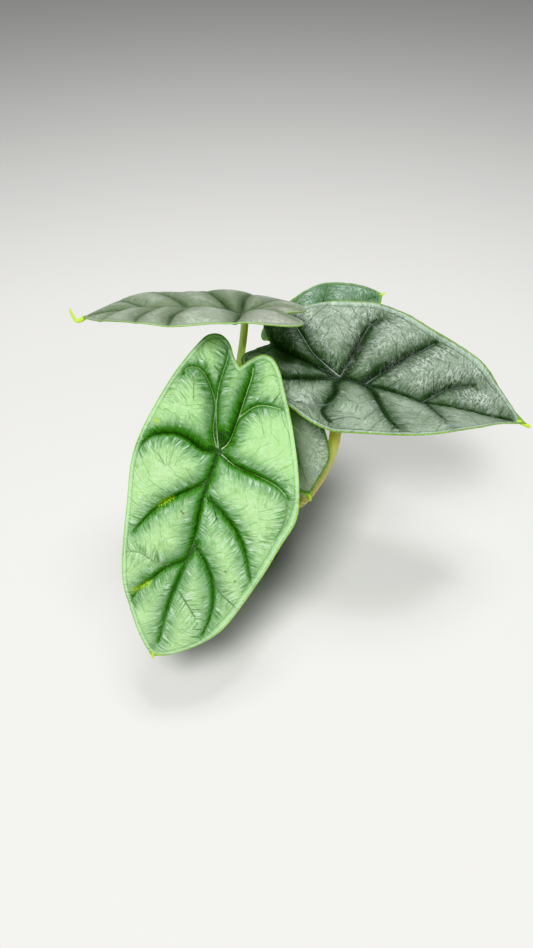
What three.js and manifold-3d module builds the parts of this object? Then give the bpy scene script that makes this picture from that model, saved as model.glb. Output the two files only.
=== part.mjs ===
// Potted silver dragon alocasia: five ribbed leaves on their stalks, in soil, in a plain round pot.
// Millimetres, +Z up. The origin is the centre of the pot's underside, and the front is -Y.
import * as THREE from 'three';
import { mergeVertices } from 'three/addons/utils/BufferGeometryUtils.js';
import Module from 'manifold-3d';

const wasm = await Module();
wasm.setup();

// Clear space between two pieces that touch in the real plant
const GAP = 0.3;

// Pot: a thin tapered nursery pot with a turned rim and drain holes round its floor
const POT_HEIGHT = 65;
const POT_RIM_RADIUS = 37.5;
const POT_BASE_RADIUS = 25;
const POT_WALL = 1.4;
const POT_FLOOR = 2;
const POT_EDGE = 0.6;
const RIM_HEIGHT = 8;
const RIM_STEP = 1.6;
const ROUND_SIDES = 40;
const DRAIN_HOLES = 6;
const DRAIN_RADIUS = 3;
const DRAIN_SIDES = 12;
const DRAIN_RING_RADIUS = 17;

// Soil: fills the pot to a little below its rim, with low lumps on its top
const SOIL_LEVEL = 58;
const SOIL_RELIEF = 1.1;
const SOIL_LUMP = 16;
const SOIL_RINGS = 8;

// Crown: the short stem at the heart of the plant, which the leaf stalks grow from
const CROWN_FOOT = 42;
const CROWN_TOP = 72;
const CROWN_RADIUS = 9.5;
const CROWN_SIDES = 24;

// Leaf stalks: their feet stand in the crown, in a ring, and widen into a sheath above it
const STALK_SIDES = 10;
const STALK_STEPS = 16;
const STALK_FOOT = 61;
const STALK_RING_RADIUS = 5.6;
const SHEATH_START = 8;
const SHEATH_END = 0.43;
const SHEATH_FADE = 0.25;

// Leaf blades
const BLADE_THICKNESS = 1;
const FOLD_ROUNDING = 3;
const WAVE_LENGTH = 48;
const WAVE_SHIFT = 1.7;
const TIP_START = 0.92;

// Veins: sunken lines that the blade bulges between. They taper towards the margin.
const VEIN_STEPS = 6;
const VEIN_DEPTH = 0.95;
const VEIN_TAPER = 0.45;
const VEIN_ROUNDING = 1.5;
const MARGIN_FLATNESS = 0.6;

// Every leaf is given in its own flat frame: x across the blade, y along the midrib to the tip,
// with the stalk joined on at the origin. The margin runs from the notch between the back lobes,
// up each side, to the tip. A vein is three points: where it starts, a point half-way, its end.
const LEAVES = [
  {
    name: 'front',
    colour: 0x9cc98c,
    junction: [-7.4, -55.2, 137.8],
    tipward: [-35, -61.8, -84.4],
    facing: [0, -0.78, 0.62],
    length: 112,
    notch: [3, -43],
    right: [[7, -46.5], [11.5, -52.5], [17, -55], [22.5, -53], [27, -45], [34, -25], [40, 10],
      [35.5, 38], [25.5, 78], [19, 89], [9, 103]],
    left: [[-2, -49.5], [-6, -52.5], [-11, -52], [-16, -47.5], [-22, -38], [-31, -23], [-44, 5],
      [-47.5, 20], [-44.5, 34], [-39, 58], [-30, 86], [-20.5, 98.5], [-8, 108.5]],
    segments: 68,
    rings: 13,
    rise: 0.02,
    tipRise: 0,
    twist: 0,
    lobeTwist: 0,
    tipLift: 0.5,
    arch: 3,
    lobeDroop: 2,
    curl: 3,
    wave: 0.5,
    relief: 5.2,
    veinWidth: 3.8,
    veins: [
      [[0, 0], [-1, 50], [0, 106]],
      [[0, 0], [22, -5], [39, 11]],
      [[0, 10], [14, 30], [29, 52]],
      [[-4, 46], [1, 62], [19, 87]],
      [[0, 0], [-19, 3], [-41, 13]],
      [[-1, 22], [-20, 32], [-36, 58]],
      [[-4, 47], [-20, 62], [-21, 93]],
      [[2, -2], [8, -24], [11, -51]],
      [[2, -2], [10, -30], [28, -32]],
      [[-1, -2], [-5, -24], [-3, -47]],
      [[-3, -14], [-9, -28], [-24, -30]],
    ],
    stalk: {
      angle: 245,
      lean: 0.5,
      through: [[-4, -9, 100], [-6, -26, 123]],
      footRadius: 2.9,
      topRadius: 2,
      sheath: 0.25,
      colour: 0x9fc153,
    },
  },
  {
    name: 'left',
    colour: 0xa3b39f,
    junction: [4.1, -3.8, 189.3],
    tipward: [-87.9, 9.5, -11.7],
    facing: [0, 0.36, 0.93],
    length: 89.2,
    notch: [0, -22],
    right: [[5, -27], [12, -30], [24, -28], [35, -19], [40, -4], [39, 12], [36, 30], [31, 48], [22, 64],
      [9, 79]],
    left: [[-6, -28], [-14, -32], [-25, -30], [-34, -20], [-39, -5], [-40, 12], [-40, 28], [-35, 48],
      [-20, 65], [-5, 80]],
    segments: 60,
    rings: 12,
    rise: 0,
    tipRise: 0,
    twist: 0.1,
    lobeTwist: -0.4,
    tipLift: 4.5,
    arch: 4,
    lobeDroop: 12,
    curl: 2,
    wave: 1,
    relief: 5,
    veinWidth: 3.8,
    veins: [
      [[0, 0], [1, 45], [0, 84]],
      [[0, 0], [22, 3], [43, 0]],
      [[0, 6], [18, 15], [38, 26]],
      [[1, 28], [14, 36], [30, 51]],
      [[1, 48], [9, 58], [19, 70]],
      [[0, 0], [-20, -2], [-40, -4]],
      [[1, 20], [-17, 29], [-38, 27]],
      [[1, 38], [-17, 45], [-36, 43]],
      [[1, 56], [-6, 63], [-16, 69]],
      [[0, -1], [-3, -14], [-14, -27]],
      [[1, -1], [10, -13], [12, -27]],
      [[2, -1], [18, -9], [32, -14]],
    ],
    stalk: {
      angle: 173,
      lean: 0.2,
      through: [[-3, 8, 105], [1.8, 8, 145], [4, 5.9, 162], [5.2, 0.5, 177]],
      footRadius: 2.8,
      topRadius: 1.85,
      sheath: 0.25,
      colour: 0x9fc153,
    },
  },
  {
    name: 'right',
    colour: 0x6f8f78,
    junction: [57.4, -0.8, 147],
    tipward: [102.2, -13.7, -25],
    facing: [0, -0.2, 0.98],
    length: 106.1,
    notch: [-6, -41],
    right: [[0, -48], [5, -53], [11, -54], [23, -47], [35, -25], [43, -8], [44.5, 10], [43, 28], [38, 50],
      [26, 70], [10, 88], [3, 99]],
    left: [[-11, -45], [-17, -47.5], [-24, -45], [-34, -32], [-43, -18], [-48, -4], [-50, 11], [-46, 28],
      [-38, 44], [-26, 75], [-14, 88], [-5, 99]],
    segments: 68,
    rings: 13,
    rise: 0.14,
    tipRise: 0.62,
    twist: 0.15,
    lobeTwist: 0,
    tipLift: 1,
    arch: 1,
    lobeDroop: 0,
    curl: 2,
    wave: 0.6,
    relief: 5.2,
    veinWidth: 4,
    veins: [
      [[0, 0], [4, 52], [0, 102]],
      [[0, 0], [-20, 6], [-39, 15]],
      [[0, 16], [-14, 28], [-31, 48]],
      [[0, 48], [-8, 60], [-15, 76]],
      [[0, 0], [20, -5], [38, -4]],
      [[3, 16], [18, 20], [37, 30]],
      [[4, 47], [14, 52], [25, 57]],
      [[0, 0], [-8, -16], [-17, -38]],
      [[1, -1], [2, -20], [6, -46]],
      [[3, -6], [14, -18], [28, -30]],
      [[-4, -9], [-18, -16], [-34, -16]],
    ],
    stalk: {
      angle: 317,
      lean: 2.5,
      through: [[20, -19, 75.5], [34, -29.5, 73], [44, -26, 84], [51, -21, 98], [54.5, -16.6, 111.4]],
      footRadius: 3,
      topRadius: 2.3,
      sheath: 0.5,
      colour: 0x9a9a3d,
    },
  },
  {
    name: 'back',
    colour: 0x86a384,
    junction: [39.1, 49.6, 143.6],
    tipward: [48.5, 26.2, 5],
    facing: [0, -0.2, 0.98],
    length: 55.3,
    notch: [1, -22],
    right: [[6, -31], [13, -30], [19, -20], [24, -6], [26, 8], [25, 22], [19, 35], [9, 47]],
    left: [[-3, -27], [-9, -24], [-15, -13], [-20, 0], [-23, 14], [-23, 26], [-16, 40], [-7, 51]],
    segments: 40,
    rings: 7,
    rise: 0.1,
    tipRise: 0.1,
    twist: 0,
    lobeTwist: 0,
    tipLift: 0.5,
    arch: 1,
    lobeDroop: 1,
    curl: 1.5,
    wave: 0.4,
    relief: 3,
    veinWidth: 3,
    veins: [
      [[0, 0], [1, 25], [0, 48]],
      [[0, 0], [-12, 0], [-24, 8]],
      [[0, 10], [-10, 19], [-21, 30]],
      [[0, 0], [12, 0], [23, 8]],
      [[0, 10], [9, 19], [18, 30]],
      [[0, -1], [-5, -12], [-10, -22]],
      [[0, -1], [5, -13], [9, -24]],
    ],
    stalk: {
      angle: 101,
      lean: 0.5,
      through: [[8, 14, 95], [31, 40, 124]],
      footRadius: 2.7,
      topRadius: 1.7,
      sheath: 0.2,
      colour: 0x9fc153,
    },
  },
  {
    name: 'low',
    colour: 0x8b9e88,
    junction: [27.9, -16.4, 131.4],
    tipward: [12.2, -28.5, -37],
    facing: [-0.1, -0.8, 0.6],
    length: 49,
    notch: [0, -12],
    right: [[4, -16], [9, -15], [14, -8], [17, 2], [18, 14], [16, 26], [11, 36], [4, 45]],
    left: [[-4, -16], [-9, -14], [-13, -6], [-15, 3], [-16.5, 12], [-17, 21], [-15.5, 30], [-8, 38.5],
      [-2, 45]],
    segments: 40,
    rings: 7,
    rise: 0.05,
    tipRise: 0.05,
    twist: 0,
    lobeTwist: 0,
    tipLift: 0.5,
    arch: 2,
    lobeDroop: 3,
    curl: 2,
    wave: 0.3,
    relief: 2.8,
    veinWidth: 2.8,
    veins: [
      [[0, 0], [1, 25], [0, 47]],
      [[0, 0], [9, 0], [17, 6]],
      [[0, 9], [7, 17], [15, 27]],
      [[0, 0], [-9, 0], [-15, 6]],
      [[0, 9], [-7, 17], [-14, 27]],
      [[0, -1], [4, -9], [9, -17]],
      [[0, -1], [-4, -9], [-8, -17]],
    ],
    stalk: {
      angle: 29,
      lean: 0.3,
      through: [[9, -1, 95], [20, -6, 122]],
      footRadius: 2.7,
      topRadius: 1.7,
      sheath: 0.2,
      colour: 0x8fa84a,
    },
  },
];

const vector = (values) => new THREE.Vector3(...values);

// A closed shell from rings of points, with a cap at both ends
function ringsToGeometry(rings) {
  const sides = rings[0].length;
  const positions = [];
  const index = [];
  for (const point of rings.flat()) {
    positions.push(point.x, point.y, point.z);
  }
  for (let r = 0; r < rings.length - 1; r += 1) {
    for (let i = 0; i < sides; i += 1) {
      const a = r * sides + i;
      const b = r * sides + ((i + 1) % sides);
      index.push(a, b, b + sides, a, b + sides, a + sides);
    }
  }
  const last = (rings.length - 1) * sides;
  for (let i = 1; i < sides - 1; i += 1) {
    index.push(0, i + 1, i);
    index.push(last, last + i, last + i + 1);
  }
  const geometry = new THREE.BufferGeometry();
  geometry.setAttribute('position', new THREE.Float32BufferAttribute(positions, 3));
  geometry.setIndex(index);
  return geometry;
}

function toSolid(geometry) {
  const bare = geometry.clone();
  bare.deleteAttribute('normal');
  bare.deleteAttribute('uv');
  const merged = mergeVertices(bare, 1e-4);
  const vertProperties = new Float32Array(merged.attributes.position.array);
  const triVerts = new Uint32Array(merged.index.array);
  return new wasm.Manifold(new wasm.Mesh({ numProp: 3, vertProperties, triVerts }));
}

function toGeometry(solid) {
  const mesh = solid.getMesh();
  const geometry = new THREE.BufferGeometry();
  geometry.setAttribute('position', new THREE.BufferAttribute(mesh.vertProperties, 3));
  geometry.setIndex(new THREE.BufferAttribute(mesh.triVerts, 1));
  return geometry;
}

// A body turned about the Z axis, from a profile of [radius, height] points going up its outside
function turned(profile, sides) {
  const points = profile.map(([radius, height]) => new THREE.Vector2(radius, height));
  const geometry = new THREE.LatheGeometry(points, sides);
  geometry.rotateX(Math.PI / 2);
  return geometry;
}

function namedMesh(name, geometry, colour, roughness) {
  const material = new THREE.MeshStandardMaterial({ color: colour, roughness, metalness: 0 });
  const mesh = new THREE.Mesh(geometry, material);
  mesh.name = name;
  return mesh;
}

// Radius of the pot's outside at a height, under its rim
function potRadius(height) {
  const wallTop = POT_RIM_RADIUS - RIM_STEP;
  return POT_BASE_RADIUS + (wallTop - POT_BASE_RADIUS) * (height / (POT_HEIGHT - RIM_HEIGHT));
}

function makePot() {
  const rimFoot = POT_HEIGHT - RIM_HEIGHT;
  const shell = toSolid(turned([
    [0, 0],
    [POT_BASE_RADIUS - POT_EDGE, 0],
    [potRadius(POT_EDGE), POT_EDGE],
    [potRadius(rimFoot), rimFoot],
    [POT_RIM_RADIUS, rimFoot],
    [POT_RIM_RADIUS, POT_HEIGHT - POT_EDGE],
    [POT_RIM_RADIUS - POT_EDGE, POT_HEIGHT],
    [POT_RIM_RADIUS - POT_WALL, POT_HEIGHT],
    [POT_RIM_RADIUS - POT_WALL, rimFoot + RIM_STEP],
    [potRadius(rimFoot) - POT_WALL, rimFoot],
    [potRadius(POT_FLOOR) - POT_WALL, POT_FLOOR],
    [0, POT_FLOOR],
  ], ROUND_SIDES));
  let drilled = shell;
  for (let i = 0; i < DRAIN_HOLES; i += 1) {
    const angle = (i / DRAIN_HOLES) * 2 * Math.PI;
    const x = DRAIN_RING_RADIUS * Math.cos(angle);
    const y = DRAIN_RING_RADIUS * Math.sin(angle);
    const drill = new THREE.CylinderGeometry(DRAIN_RADIUS, DRAIN_RADIUS, 3 * POT_FLOOR, DRAIN_SIDES);
    drill.rotateX(Math.PI / 2);
    drill.translate(x, y, POT_FLOOR / 2);
    drilled = drilled.subtract(toSolid(drill));
  }
  return toGeometry(drilled);
}

// The uneven top of the soil
function soilHeight(x, y) {
  const u = (2 * Math.PI * x) / SOIL_LUMP;
  const v = (2 * Math.PI * y) / SOIL_LUMP;
  const lumps = Math.sin(u + 1) * Math.cos(v) + Math.sin(u / 2 - v);
  return SOIL_LEVEL + 0.5 * SOIL_RELIEF * lumps;
}

// The soil's outline goes up its side, then in over its top ring by ring to a plain hole
function makeSoil() {
  const foot = POT_FLOOR + GAP;
  const shoulder = SOIL_LEVEL - 2 * SOIL_RELIEF;
  const topRadius = potRadius(shoulder) - POT_WALL - GAP;
  const side = [
    [GAP, foot],
    [potRadius(foot) - POT_WALL - GAP, foot],
    [topRadius, shoulder],
  ];
  const top = [];
  for (let r = SOIL_RINGS; r > 0; r -= 1) {
    top.push([(topRadius * r) / SOIL_RINGS, SOIL_LEVEL]);
  }
  const rings = [...side, ...top].map(([radius, height]) => {
    const ring = [];
    for (let i = 0; i < ROUND_SIDES; i += 1) {
      const angle = (i / ROUND_SIDES) * 2 * Math.PI;
      const x = radius * Math.cos(angle);
      const y = radius * Math.sin(angle);
      ring.push(new THREE.Vector3(x, y, height === SOIL_LEVEL ? soilHeight(x, y) : height));
    }
    return ring;
  });
  const hole = turned([
    [0, CROWN_FOOT],
    [CROWN_RADIUS + GAP, CROWN_FOOT],
    [CROWN_RADIUS + GAP, POT_HEIGHT],
    [0, POT_HEIGHT],
  ], CROWN_SIDES);
  return toGeometry(toSolid(ringsToGeometry(rings)).subtract(toSolid(hole)));
}

// The points of a vein, on the smooth bow through its start, its middle and its end
function bowedVein([start, middle, end]) {
  const points = [];
  for (let i = 0; i <= VEIN_STEPS; i += 1) {
    const s = i / VEIN_STEPS;
    const a = (1 - s) * (1 - 2 * s);
    const b = 4 * s * (1 - s);
    const c = s * (2 * s - 1);
    points.push([a * start[0] + b * middle[0] + c * end[0], a * start[1] + b * middle[1] + c * end[1]]);
  }
  return points;
}

// Shortest distance from a point to a vein, with how far along the vein that is, from 0 to 1
function distanceToVein(points, x, y) {
  let best = Infinity;
  let along = 0;
  for (let i = 0; i < points.length - 1; i += 1) {
    const [ax, ay] = points[i];
    const dx = points[i + 1][0] - ax;
    const dy = points[i + 1][1] - ay;
    const s = Math.min(1, Math.max(0, ((x - ax) * dx + (y - ay) * dy) / (dx * dx + dy * dy)));
    const distance = Math.hypot(x - ax - s * dx, y - ay - s * dy);
    if (distance < best) {
      best = distance;
      along = (i + s) / (points.length - 1);
    }
  }
  return [best, along];
}

// How far a place on the blade has sunk into its veins, from 0 to 1
function veinDepth(leaf, x, y) {
  let flatness = 1;
  for (const vein of leaf.bowedVeins) {
    const [distance, along] = distanceToVein(vein, x, y);
    const width = leaf.veinWidth * (1 - VEIN_TAPER * along);
    const depth = VEIN_DEPTH * (1 - VEIN_TAPER * along ** 2);
    const away = Math.hypot(distance, VEIN_ROUNDING) - VEIN_ROUNDING;
    flatness *= 1 - depth * Math.exp(-away / width);
  }
  return 1 - flatness;
}

// Height of a blade's middle layer over its flat frame. Out is 0 at the stalk and 1 at the margin.
function bladeHeight(leaf, x, y, out) {
  const side = Math.abs(x);
  const tipward = Math.max(0, y) / leaf.length;
  const lobeward = Math.max(0, -y) / leaf.length;
  const fold = (leaf.rise + leaf.tipRise * tipward) * ((side * side) / (side + FOLD_ROUNDING));
  const twist = x * (leaf.twist * tipward + leaf.lobeTwist * lobeward);
  const lift = leaf.tipLift * THREE.MathUtils.smoothstep(tipward, TIP_START, 1);
  const arch = 4 * (leaf.arch * tipward * (1 - tipward) - leaf.lobeDroop * lobeward ** 2);
  const phase = (2 * Math.PI * y) / WAVE_LENGTH + (x > 0 ? 0 : WAVE_SHIFT);
  const wave = leaf.wave * Math.sin(phase) * out ** 3;
  const valleys = leaf.relief * veinDepth(leaf, x, y) * (1 - MARGIN_FLATNESS * out ** 6);
  return fold + twist + lift + arch + wave - leaf.curl * out ** 4 - valleys;
}

// Points at equal steps of length along one side's margin, from the notch to the tip
function sideOfMargin(leaf, side, steps) {
  const corners = [leaf.notch, ...side, [0, leaf.length]];
  const points = corners.map(([x, y]) => new THREE.Vector3(x, y, 0));
  const curve = new THREE.CatmullRomCurve3(points, false, 'centripetal');
  return curve.getSpacedPoints(steps).map((point) => [point.x, point.y]);
}

// A blade in its own frame: rings of points that grow from the stalk out to the margin, on an upper
// and a lower face with the same triangles, joined round the margin. Each four-cornered field is
// split along the diagonal that lies nearer the true surface, so that a valley is not broken up.
function makeBlade(leaf) {
  const steps = leaf.segments / 2;
  const up = sideOfMargin(leaf, leaf.right, steps);
  const down = sideOfMargin(leaf, leaf.left, steps).reverse();
  const margin = [...up.slice(0, -1), ...down.slice(0, -1)];
  const positions = [];
  const index = [];
  for (const face of [0.5, -0.5]) {
    const lift = face * BLADE_THICKNESS;
    positions.push(0, 0, bladeHeight(leaf, 0, 0, 0) + lift);
    for (let r = 1; r <= leaf.rings; r += 1) {
      const out = r / leaf.rings;
      for (const [marginX, marginY] of margin) {
        const x = marginX * out;
        const y = marginY * out;
        positions.push(x, y, bladeHeight(leaf, x, y, out) + lift);
      }
    }
  }
  const around = margin.length;
  const lower = 1 + leaf.rings * around;
  const bothFaces = (a, b, c) => index.push(a, b, c, lower + a, lower + c, lower + b);
  const diagonalMiss = (a, b, r) => {
    const x = (positions[3 * a] + positions[3 * b]) / 2;
    const y = (positions[3 * a + 1] + positions[3 * b + 1]) / 2;
    const middle = (positions[3 * a + 2] + positions[3 * b + 2]) / 2;
    return Math.abs(middle - bladeHeight(leaf, x, y, (r + 1.5) / leaf.rings) - BLADE_THICKNESS / 2);
  };
  for (let i = 0; i < around; i += 1) {
    const next = (i + 1) % around;
    bothFaces(0, 1 + i, 1 + next);
    for (let r = 0; r < leaf.rings - 1; r += 1) {
      const a = 1 + r * around + i;
      const b = 1 + r * around + next;
      if (diagonalMiss(a, b + around, r) < diagonalMiss(b, a + around, r)) {
        bothFaces(a, a + around, b + around);
        bothFaces(a, b + around, b);
      } else {
        bothFaces(a, a + around, b);
        bothFaces(b, a + around, b + around);
      }
    }
    const rim = 1 + (leaf.rings - 1) * around;
    index.push(rim + i, lower + rim + next, rim + next, rim + i, lower + rim + i, lower + rim + next);
  }
  const geometry = new THREE.BufferGeometry();
  geometry.setAttribute('position', new THREE.Float32BufferAttribute(positions, 3));
  geometry.setIndex(index);
  return geometry;
}

// The leaf's frame in the plant's: x across, y to the tip, z out of the upper face
function leafFrame(leaf) {
  const y = vector(leaf.tipward).normalize();
  const z = vector(leaf.facing);
  z.addScaledVector(y, -z.dot(y)).normalize();
  const x = new THREE.Vector3().crossVectors(y, z);
  return new THREE.Matrix4().makeBasis(x, y, z).setPosition(vector(leaf.junction));
}

// How much wider a stalk is across than through, at a height and a share of its length
function sheathWidth(stalk, height, s) {
  const aboveCrown = THREE.MathUtils.smoothstep(height, CROWN_TOP, CROWN_TOP + SHEATH_START);
  const fade = THREE.MathUtils.smoothstep(s, SHEATH_END - SHEATH_FADE / 2, SHEATH_END + SHEATH_FADE / 2);
  return stalk.sheath * aboveCrown * (1 - fade);
}

// A stalk is a round rod that widens into a flat sheath above the crown and tapers to the blade. Its
// top is cut level with the blade that it carries. Extra thickens it all over, to cut its socket.
function stalkRings(leaf, extra) {
  const { stalk } = leaf;
  const angle = THREE.MathUtils.degToRad(stalk.angle);
  const outward = new THREE.Vector3(Math.cos(angle), Math.sin(angle), 0);
  const sideways = new THREE.Vector3(-outward.y, outward.x, 0);
  const frame = leafFrame(leaf);
  const facing = new THREE.Vector3().setFromMatrixColumn(frame, 2);
  const underside = bladeHeight(leaf, 0, 0, 0) - BLADE_THICKNESS / 2 - GAP;
  const top = new THREE.Vector3(0, 0, underside).applyMatrix4(frame);
  const foot = outward.clone().multiplyScalar(STALK_RING_RADIUS).setZ(STALK_FOOT - extra);
  const emerging = outward.clone().multiplyScalar(STALK_RING_RADIUS + stalk.lean).setZ(CROWN_TOP - 1);
  const route = [foot, emerging, ...stalk.through.map(vector), top];
  const curve = new THREE.CatmullRomCurve3(route, false, 'centripetal');
  const rings = [];
  for (let r = 0; r <= STALK_STEPS; r += 1) {
    const s = r / STALK_STEPS;
    const centre = curve.getPointAt(s);
    const tangent = curve.getTangentAt(s);
    const across = sideways.clone().addScaledVector(tangent, -sideways.dot(tangent)).normalize();
    const inward = new THREE.Vector3().crossVectors(tangent, across).normalize();
    const radius = THREE.MathUtils.lerp(stalk.footRadius, stalk.topRadius, s) + extra;
    const wide = 1 + sheathWidth(stalk, centre.z, s);
    const ring = [];
    for (let i = 0; i < STALK_SIDES; i += 1) {
      const turn = (i / STALK_SIDES) * 2 * Math.PI;
      const point = centre.clone();
      point.addScaledVector(across, radius * wide * Math.cos(turn));
      point.addScaledVector(inward, radius * Math.sin(turn));
      if (r === STALK_STEPS) {
        const off = point.clone().sub(top).dot(facing) / tangent.dot(facing);
        point.addScaledVector(tangent, -off);
      }
      ring.push(point);
    }
    rings.push(ring);
  }
  return rings;
}

// The crown stands in the soil's hole, and has a socket for the foot of every stalk
function makeCrown() {
  let crown = toSolid(turned([
    [0, CROWN_FOOT + GAP],
    [CROWN_RADIUS - 2, CROWN_FOOT + GAP],
    [CROWN_RADIUS, CROWN_FOOT + 6],
    [CROWN_RADIUS, SOIL_LEVEL + 3],
    [CROWN_RADIUS - 0.4, CROWN_TOP - 4],
    [CROWN_RADIUS - 1.5, CROWN_TOP - 1],
    [0, CROWN_TOP],
  ], CROWN_SIDES));
  for (const leaf of LEAVES) {
    crown = crown.subtract(toSolid(ringsToGeometry(stalkRings(leaf, GAP))));
  }
  return toGeometry(crown);
}

for (const leaf of LEAVES) {
  leaf.bowedVeins = leaf.veins.map(bowedVein);
}

const plant = new THREE.Group();
plant.add(namedMesh('pot', makePot(), 0x1c1c1d, 0.55));
plant.add(namedMesh('soil', makeSoil(), 0x3a2a1f, 1));
plant.add(namedMesh('crown', makeCrown(), 0x8a8450, 0.7));
for (const leaf of LEAVES) {
  const stalk = ringsToGeometry(stalkRings(leaf, 0));
  plant.add(namedMesh(`stalk_${leaf.name}`, stalk, leaf.stalk.colour, 0.5));
  const blade = namedMesh(`blade_${leaf.name}`, makeBlade(leaf), leaf.colour, 0.4);
  blade.applyMatrix4(leafFrame(leaf));
  plant.add(blade);
}

export default plant;
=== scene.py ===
# %% [markdown]
# A potted silver dragon alocasia: five shield-shaped leaves with sunken veins, on green stalks.
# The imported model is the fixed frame. It holds every piece at its real size and place.
# Here each piece gets its fine surface and its finish. Millimetres are turned to metres by MM.

# %% Load the frame
import math
import random
from functools import partial

import bpy
import numpy as np
from mathutils import Matrix, Vector, noise


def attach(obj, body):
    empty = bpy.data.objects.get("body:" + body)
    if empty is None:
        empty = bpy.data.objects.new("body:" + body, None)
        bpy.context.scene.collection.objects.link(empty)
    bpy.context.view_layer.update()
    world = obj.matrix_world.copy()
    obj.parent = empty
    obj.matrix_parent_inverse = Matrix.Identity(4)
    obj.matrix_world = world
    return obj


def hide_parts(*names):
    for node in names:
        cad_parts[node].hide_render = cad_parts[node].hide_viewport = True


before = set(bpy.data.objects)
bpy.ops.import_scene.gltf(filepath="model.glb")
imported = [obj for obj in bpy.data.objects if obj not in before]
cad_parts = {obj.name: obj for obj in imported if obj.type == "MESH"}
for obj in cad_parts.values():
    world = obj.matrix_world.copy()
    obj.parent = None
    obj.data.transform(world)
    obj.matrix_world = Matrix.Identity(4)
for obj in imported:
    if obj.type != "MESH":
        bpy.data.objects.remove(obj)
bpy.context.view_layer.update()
MM = 0.001
bpy.ops.object.select_all(action="DESELECT")

# %% [markdown]
# The camera could be placed by eye, but a phone lens has a known angle, so it is worked out.
# It looks down at 45 degrees from about a third of a metre. On a tall picture Blender fits the
# sensor's long side to the height, so the focal length in pixels over the height gives the lens.

# %% Camera
PHOTO_HEIGHT = 948
FOCAL_PIXELS = 712
CAMERA_PLACE = Vector((16.4, -310, 378)) * MM
LOOK_DOWN = math.radians(45)
SENSOR_SIDE = 36
NEAREST = 0.01

camera_data = bpy.data.cameras.new("camera")
camera_data.sensor_width = SENSOR_SIDE
camera_data.lens = SENSOR_SIDE * FOCAL_PIXELS / PHOTO_HEIGHT
camera_data.clip_start = NEAREST
camera = bpy.data.objects.new("camera", camera_data)
camera.location = CAMERA_PLACE
camera.rotation_euler = (math.pi / 2 - LOOK_DOWN, 0, 0)
bpy.context.collection.objects.link(camera)
bpy.context.scene.camera = camera
print("lens in mm:", round(camera_data.lens, 2))

# %% [markdown]
# Every material is a tree of nodes. One small function adds a node, gives it its settings, and
# sets or links its inputs, in their order or by name. Some nodes have one usual way here, such as
# Map Range as a soft step and Mix for colours. Colours are written as they look on a screen, in
# hex, and the renderer counts in light, so one function turns them to linear.

# %% Helpers for materials
USUAL = {  # a kind of node: its settings, its inputs in the order they are given, and its output
    "MapRange": ({"interpolation_type": "SMOOTHSTEP"}, range(5), 0),
    "Mix": ({"data_type": "RGBA"}, (0, 6, 7), 2),
    "TexNoise": ({}, (), "Fac"),
    "Attribute": ({}, (), "Fac"),
    "TexCoord": ({}, (), "Object"),
}
MIDDLE = (0.35, 0.65)  # the part of a noise where a soft step shows both of its sides


def colour(code):
    """A hex colour as linear red, green, blue and alpha."""
    channels = [int(code[i : i + 2], 16) / 255 for i in (1, 3, 5)]
    linear = [c / 12.92 if c <= 0.04045 else ((c + 0.055) / 1.055) ** 2.4 for c in channels]
    return (*linear, 1.0)


def fill(node, inputs):
    """Sets inputs of a node to a number or a hex colour, or links another node's output to them."""
    for name, value in inputs.items():
        if isinstance(value, bpy.types.NodeSocket):
            node.id_data.links.new(value, node.inputs[name])
        else:
            node.inputs[name].default_value = colour(value) if isinstance(value, str) else value


def add_node(tree, kind, *inputs, output=None, **named):
    """Adds a node and returns one of its outputs. A kind in capitals is an operation of the Math
    node. A name with a capital is an input, and any other name is a setting."""
    if kind.isupper():
        kind, named["operation"] = "Math", kind
    settings, order, main = USUAL.get(kind, ({}, range(len(inputs)), 0))
    node = tree.nodes.new(f"ShaderNode{kind}")
    by_name = {name: value for name, value in named.items() if name[0].isupper()}
    for name, value in {**settings, **named}.items():
        if name not in by_name:
            setattr(node, name, value)
    fill(node, dict(zip(order, inputs)) | by_name)
    return node.outputs[main if output is None else output]


def new_material(name):
    """A new material, its shader, and the function that adds nodes to it."""
    material = bpy.data.materials.new(name)
    material.use_nodes = True
    tree = material.node_tree
    return material, tree.nodes["Principled BSDF"], partial(add_node, tree)


def layered(add, skin, *layers):
    """Lays colours over a first one. A layer is how much of it shows at a place, and its colour."""
    for amount, tint in layers:
        skin = add("Mix", amount, skin, tint)
    return skin


def in_mm(add):
    """The place on the object, in millimetres."""
    return add("VectorMath", add("TexCoord"), Scale=1 / MM, operation="SCALE")


print("helpers for materials are ready")

# %% [markdown]
# A studio needs little: a pale floor that runs out of the picture, a soft light overhead that the
# glossy leaves mirror, a stronger one at the front, and an even white surround.

# %% Floor and lights
FLOOR_SIDE = 8
bpy.ops.mesh.primitive_plane_add(size=FLOOR_SIDE, location=(0, 0, 0))
floor = bpy.context.object
floor.name = "floor"
paper, shader, _ = new_material("seamless studio paper")
fill(shader, {"Base Color": "#d9d8d5", "Roughness": 0.9})
floor.data.materials.append(paper)

SURROUND = 0.28
world = bpy.data.worlds.new("studio")
world.use_nodes = True
fill(world.node_tree.nodes["Background"], {"Color": "#f4f6f8", "Strength": SURROUND})
bpy.context.scene.world = world
bpy.context.scene.view_settings.view_transform = "Khronos PBR Neutral"

PLANT_MIDDLE = (0.02, 0.0, 0.12)
SOFTBOX_SIZE = 0.36


def softbox(name, place, watts):
    """A square area light at a place in metres, turned to the plant."""
    data = bpy.data.lights.new(name, "AREA")
    data.energy = watts
    data.size = SOFTBOX_SIZE
    light = bpy.data.objects.new(name, data)
    light.location = place
    towards = Vector(PLANT_MIDDLE) - Vector(place)
    light.rotation_euler = towards.to_track_quat("-Z", "Y").to_euler()
    bpy.context.collection.objects.link(light)


softbox("overhead_softbox", (0.1, 0.1, 1.2), 9)
softbox("front_softbox", (-0.15, -0.6, 1.0), 13)

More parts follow.
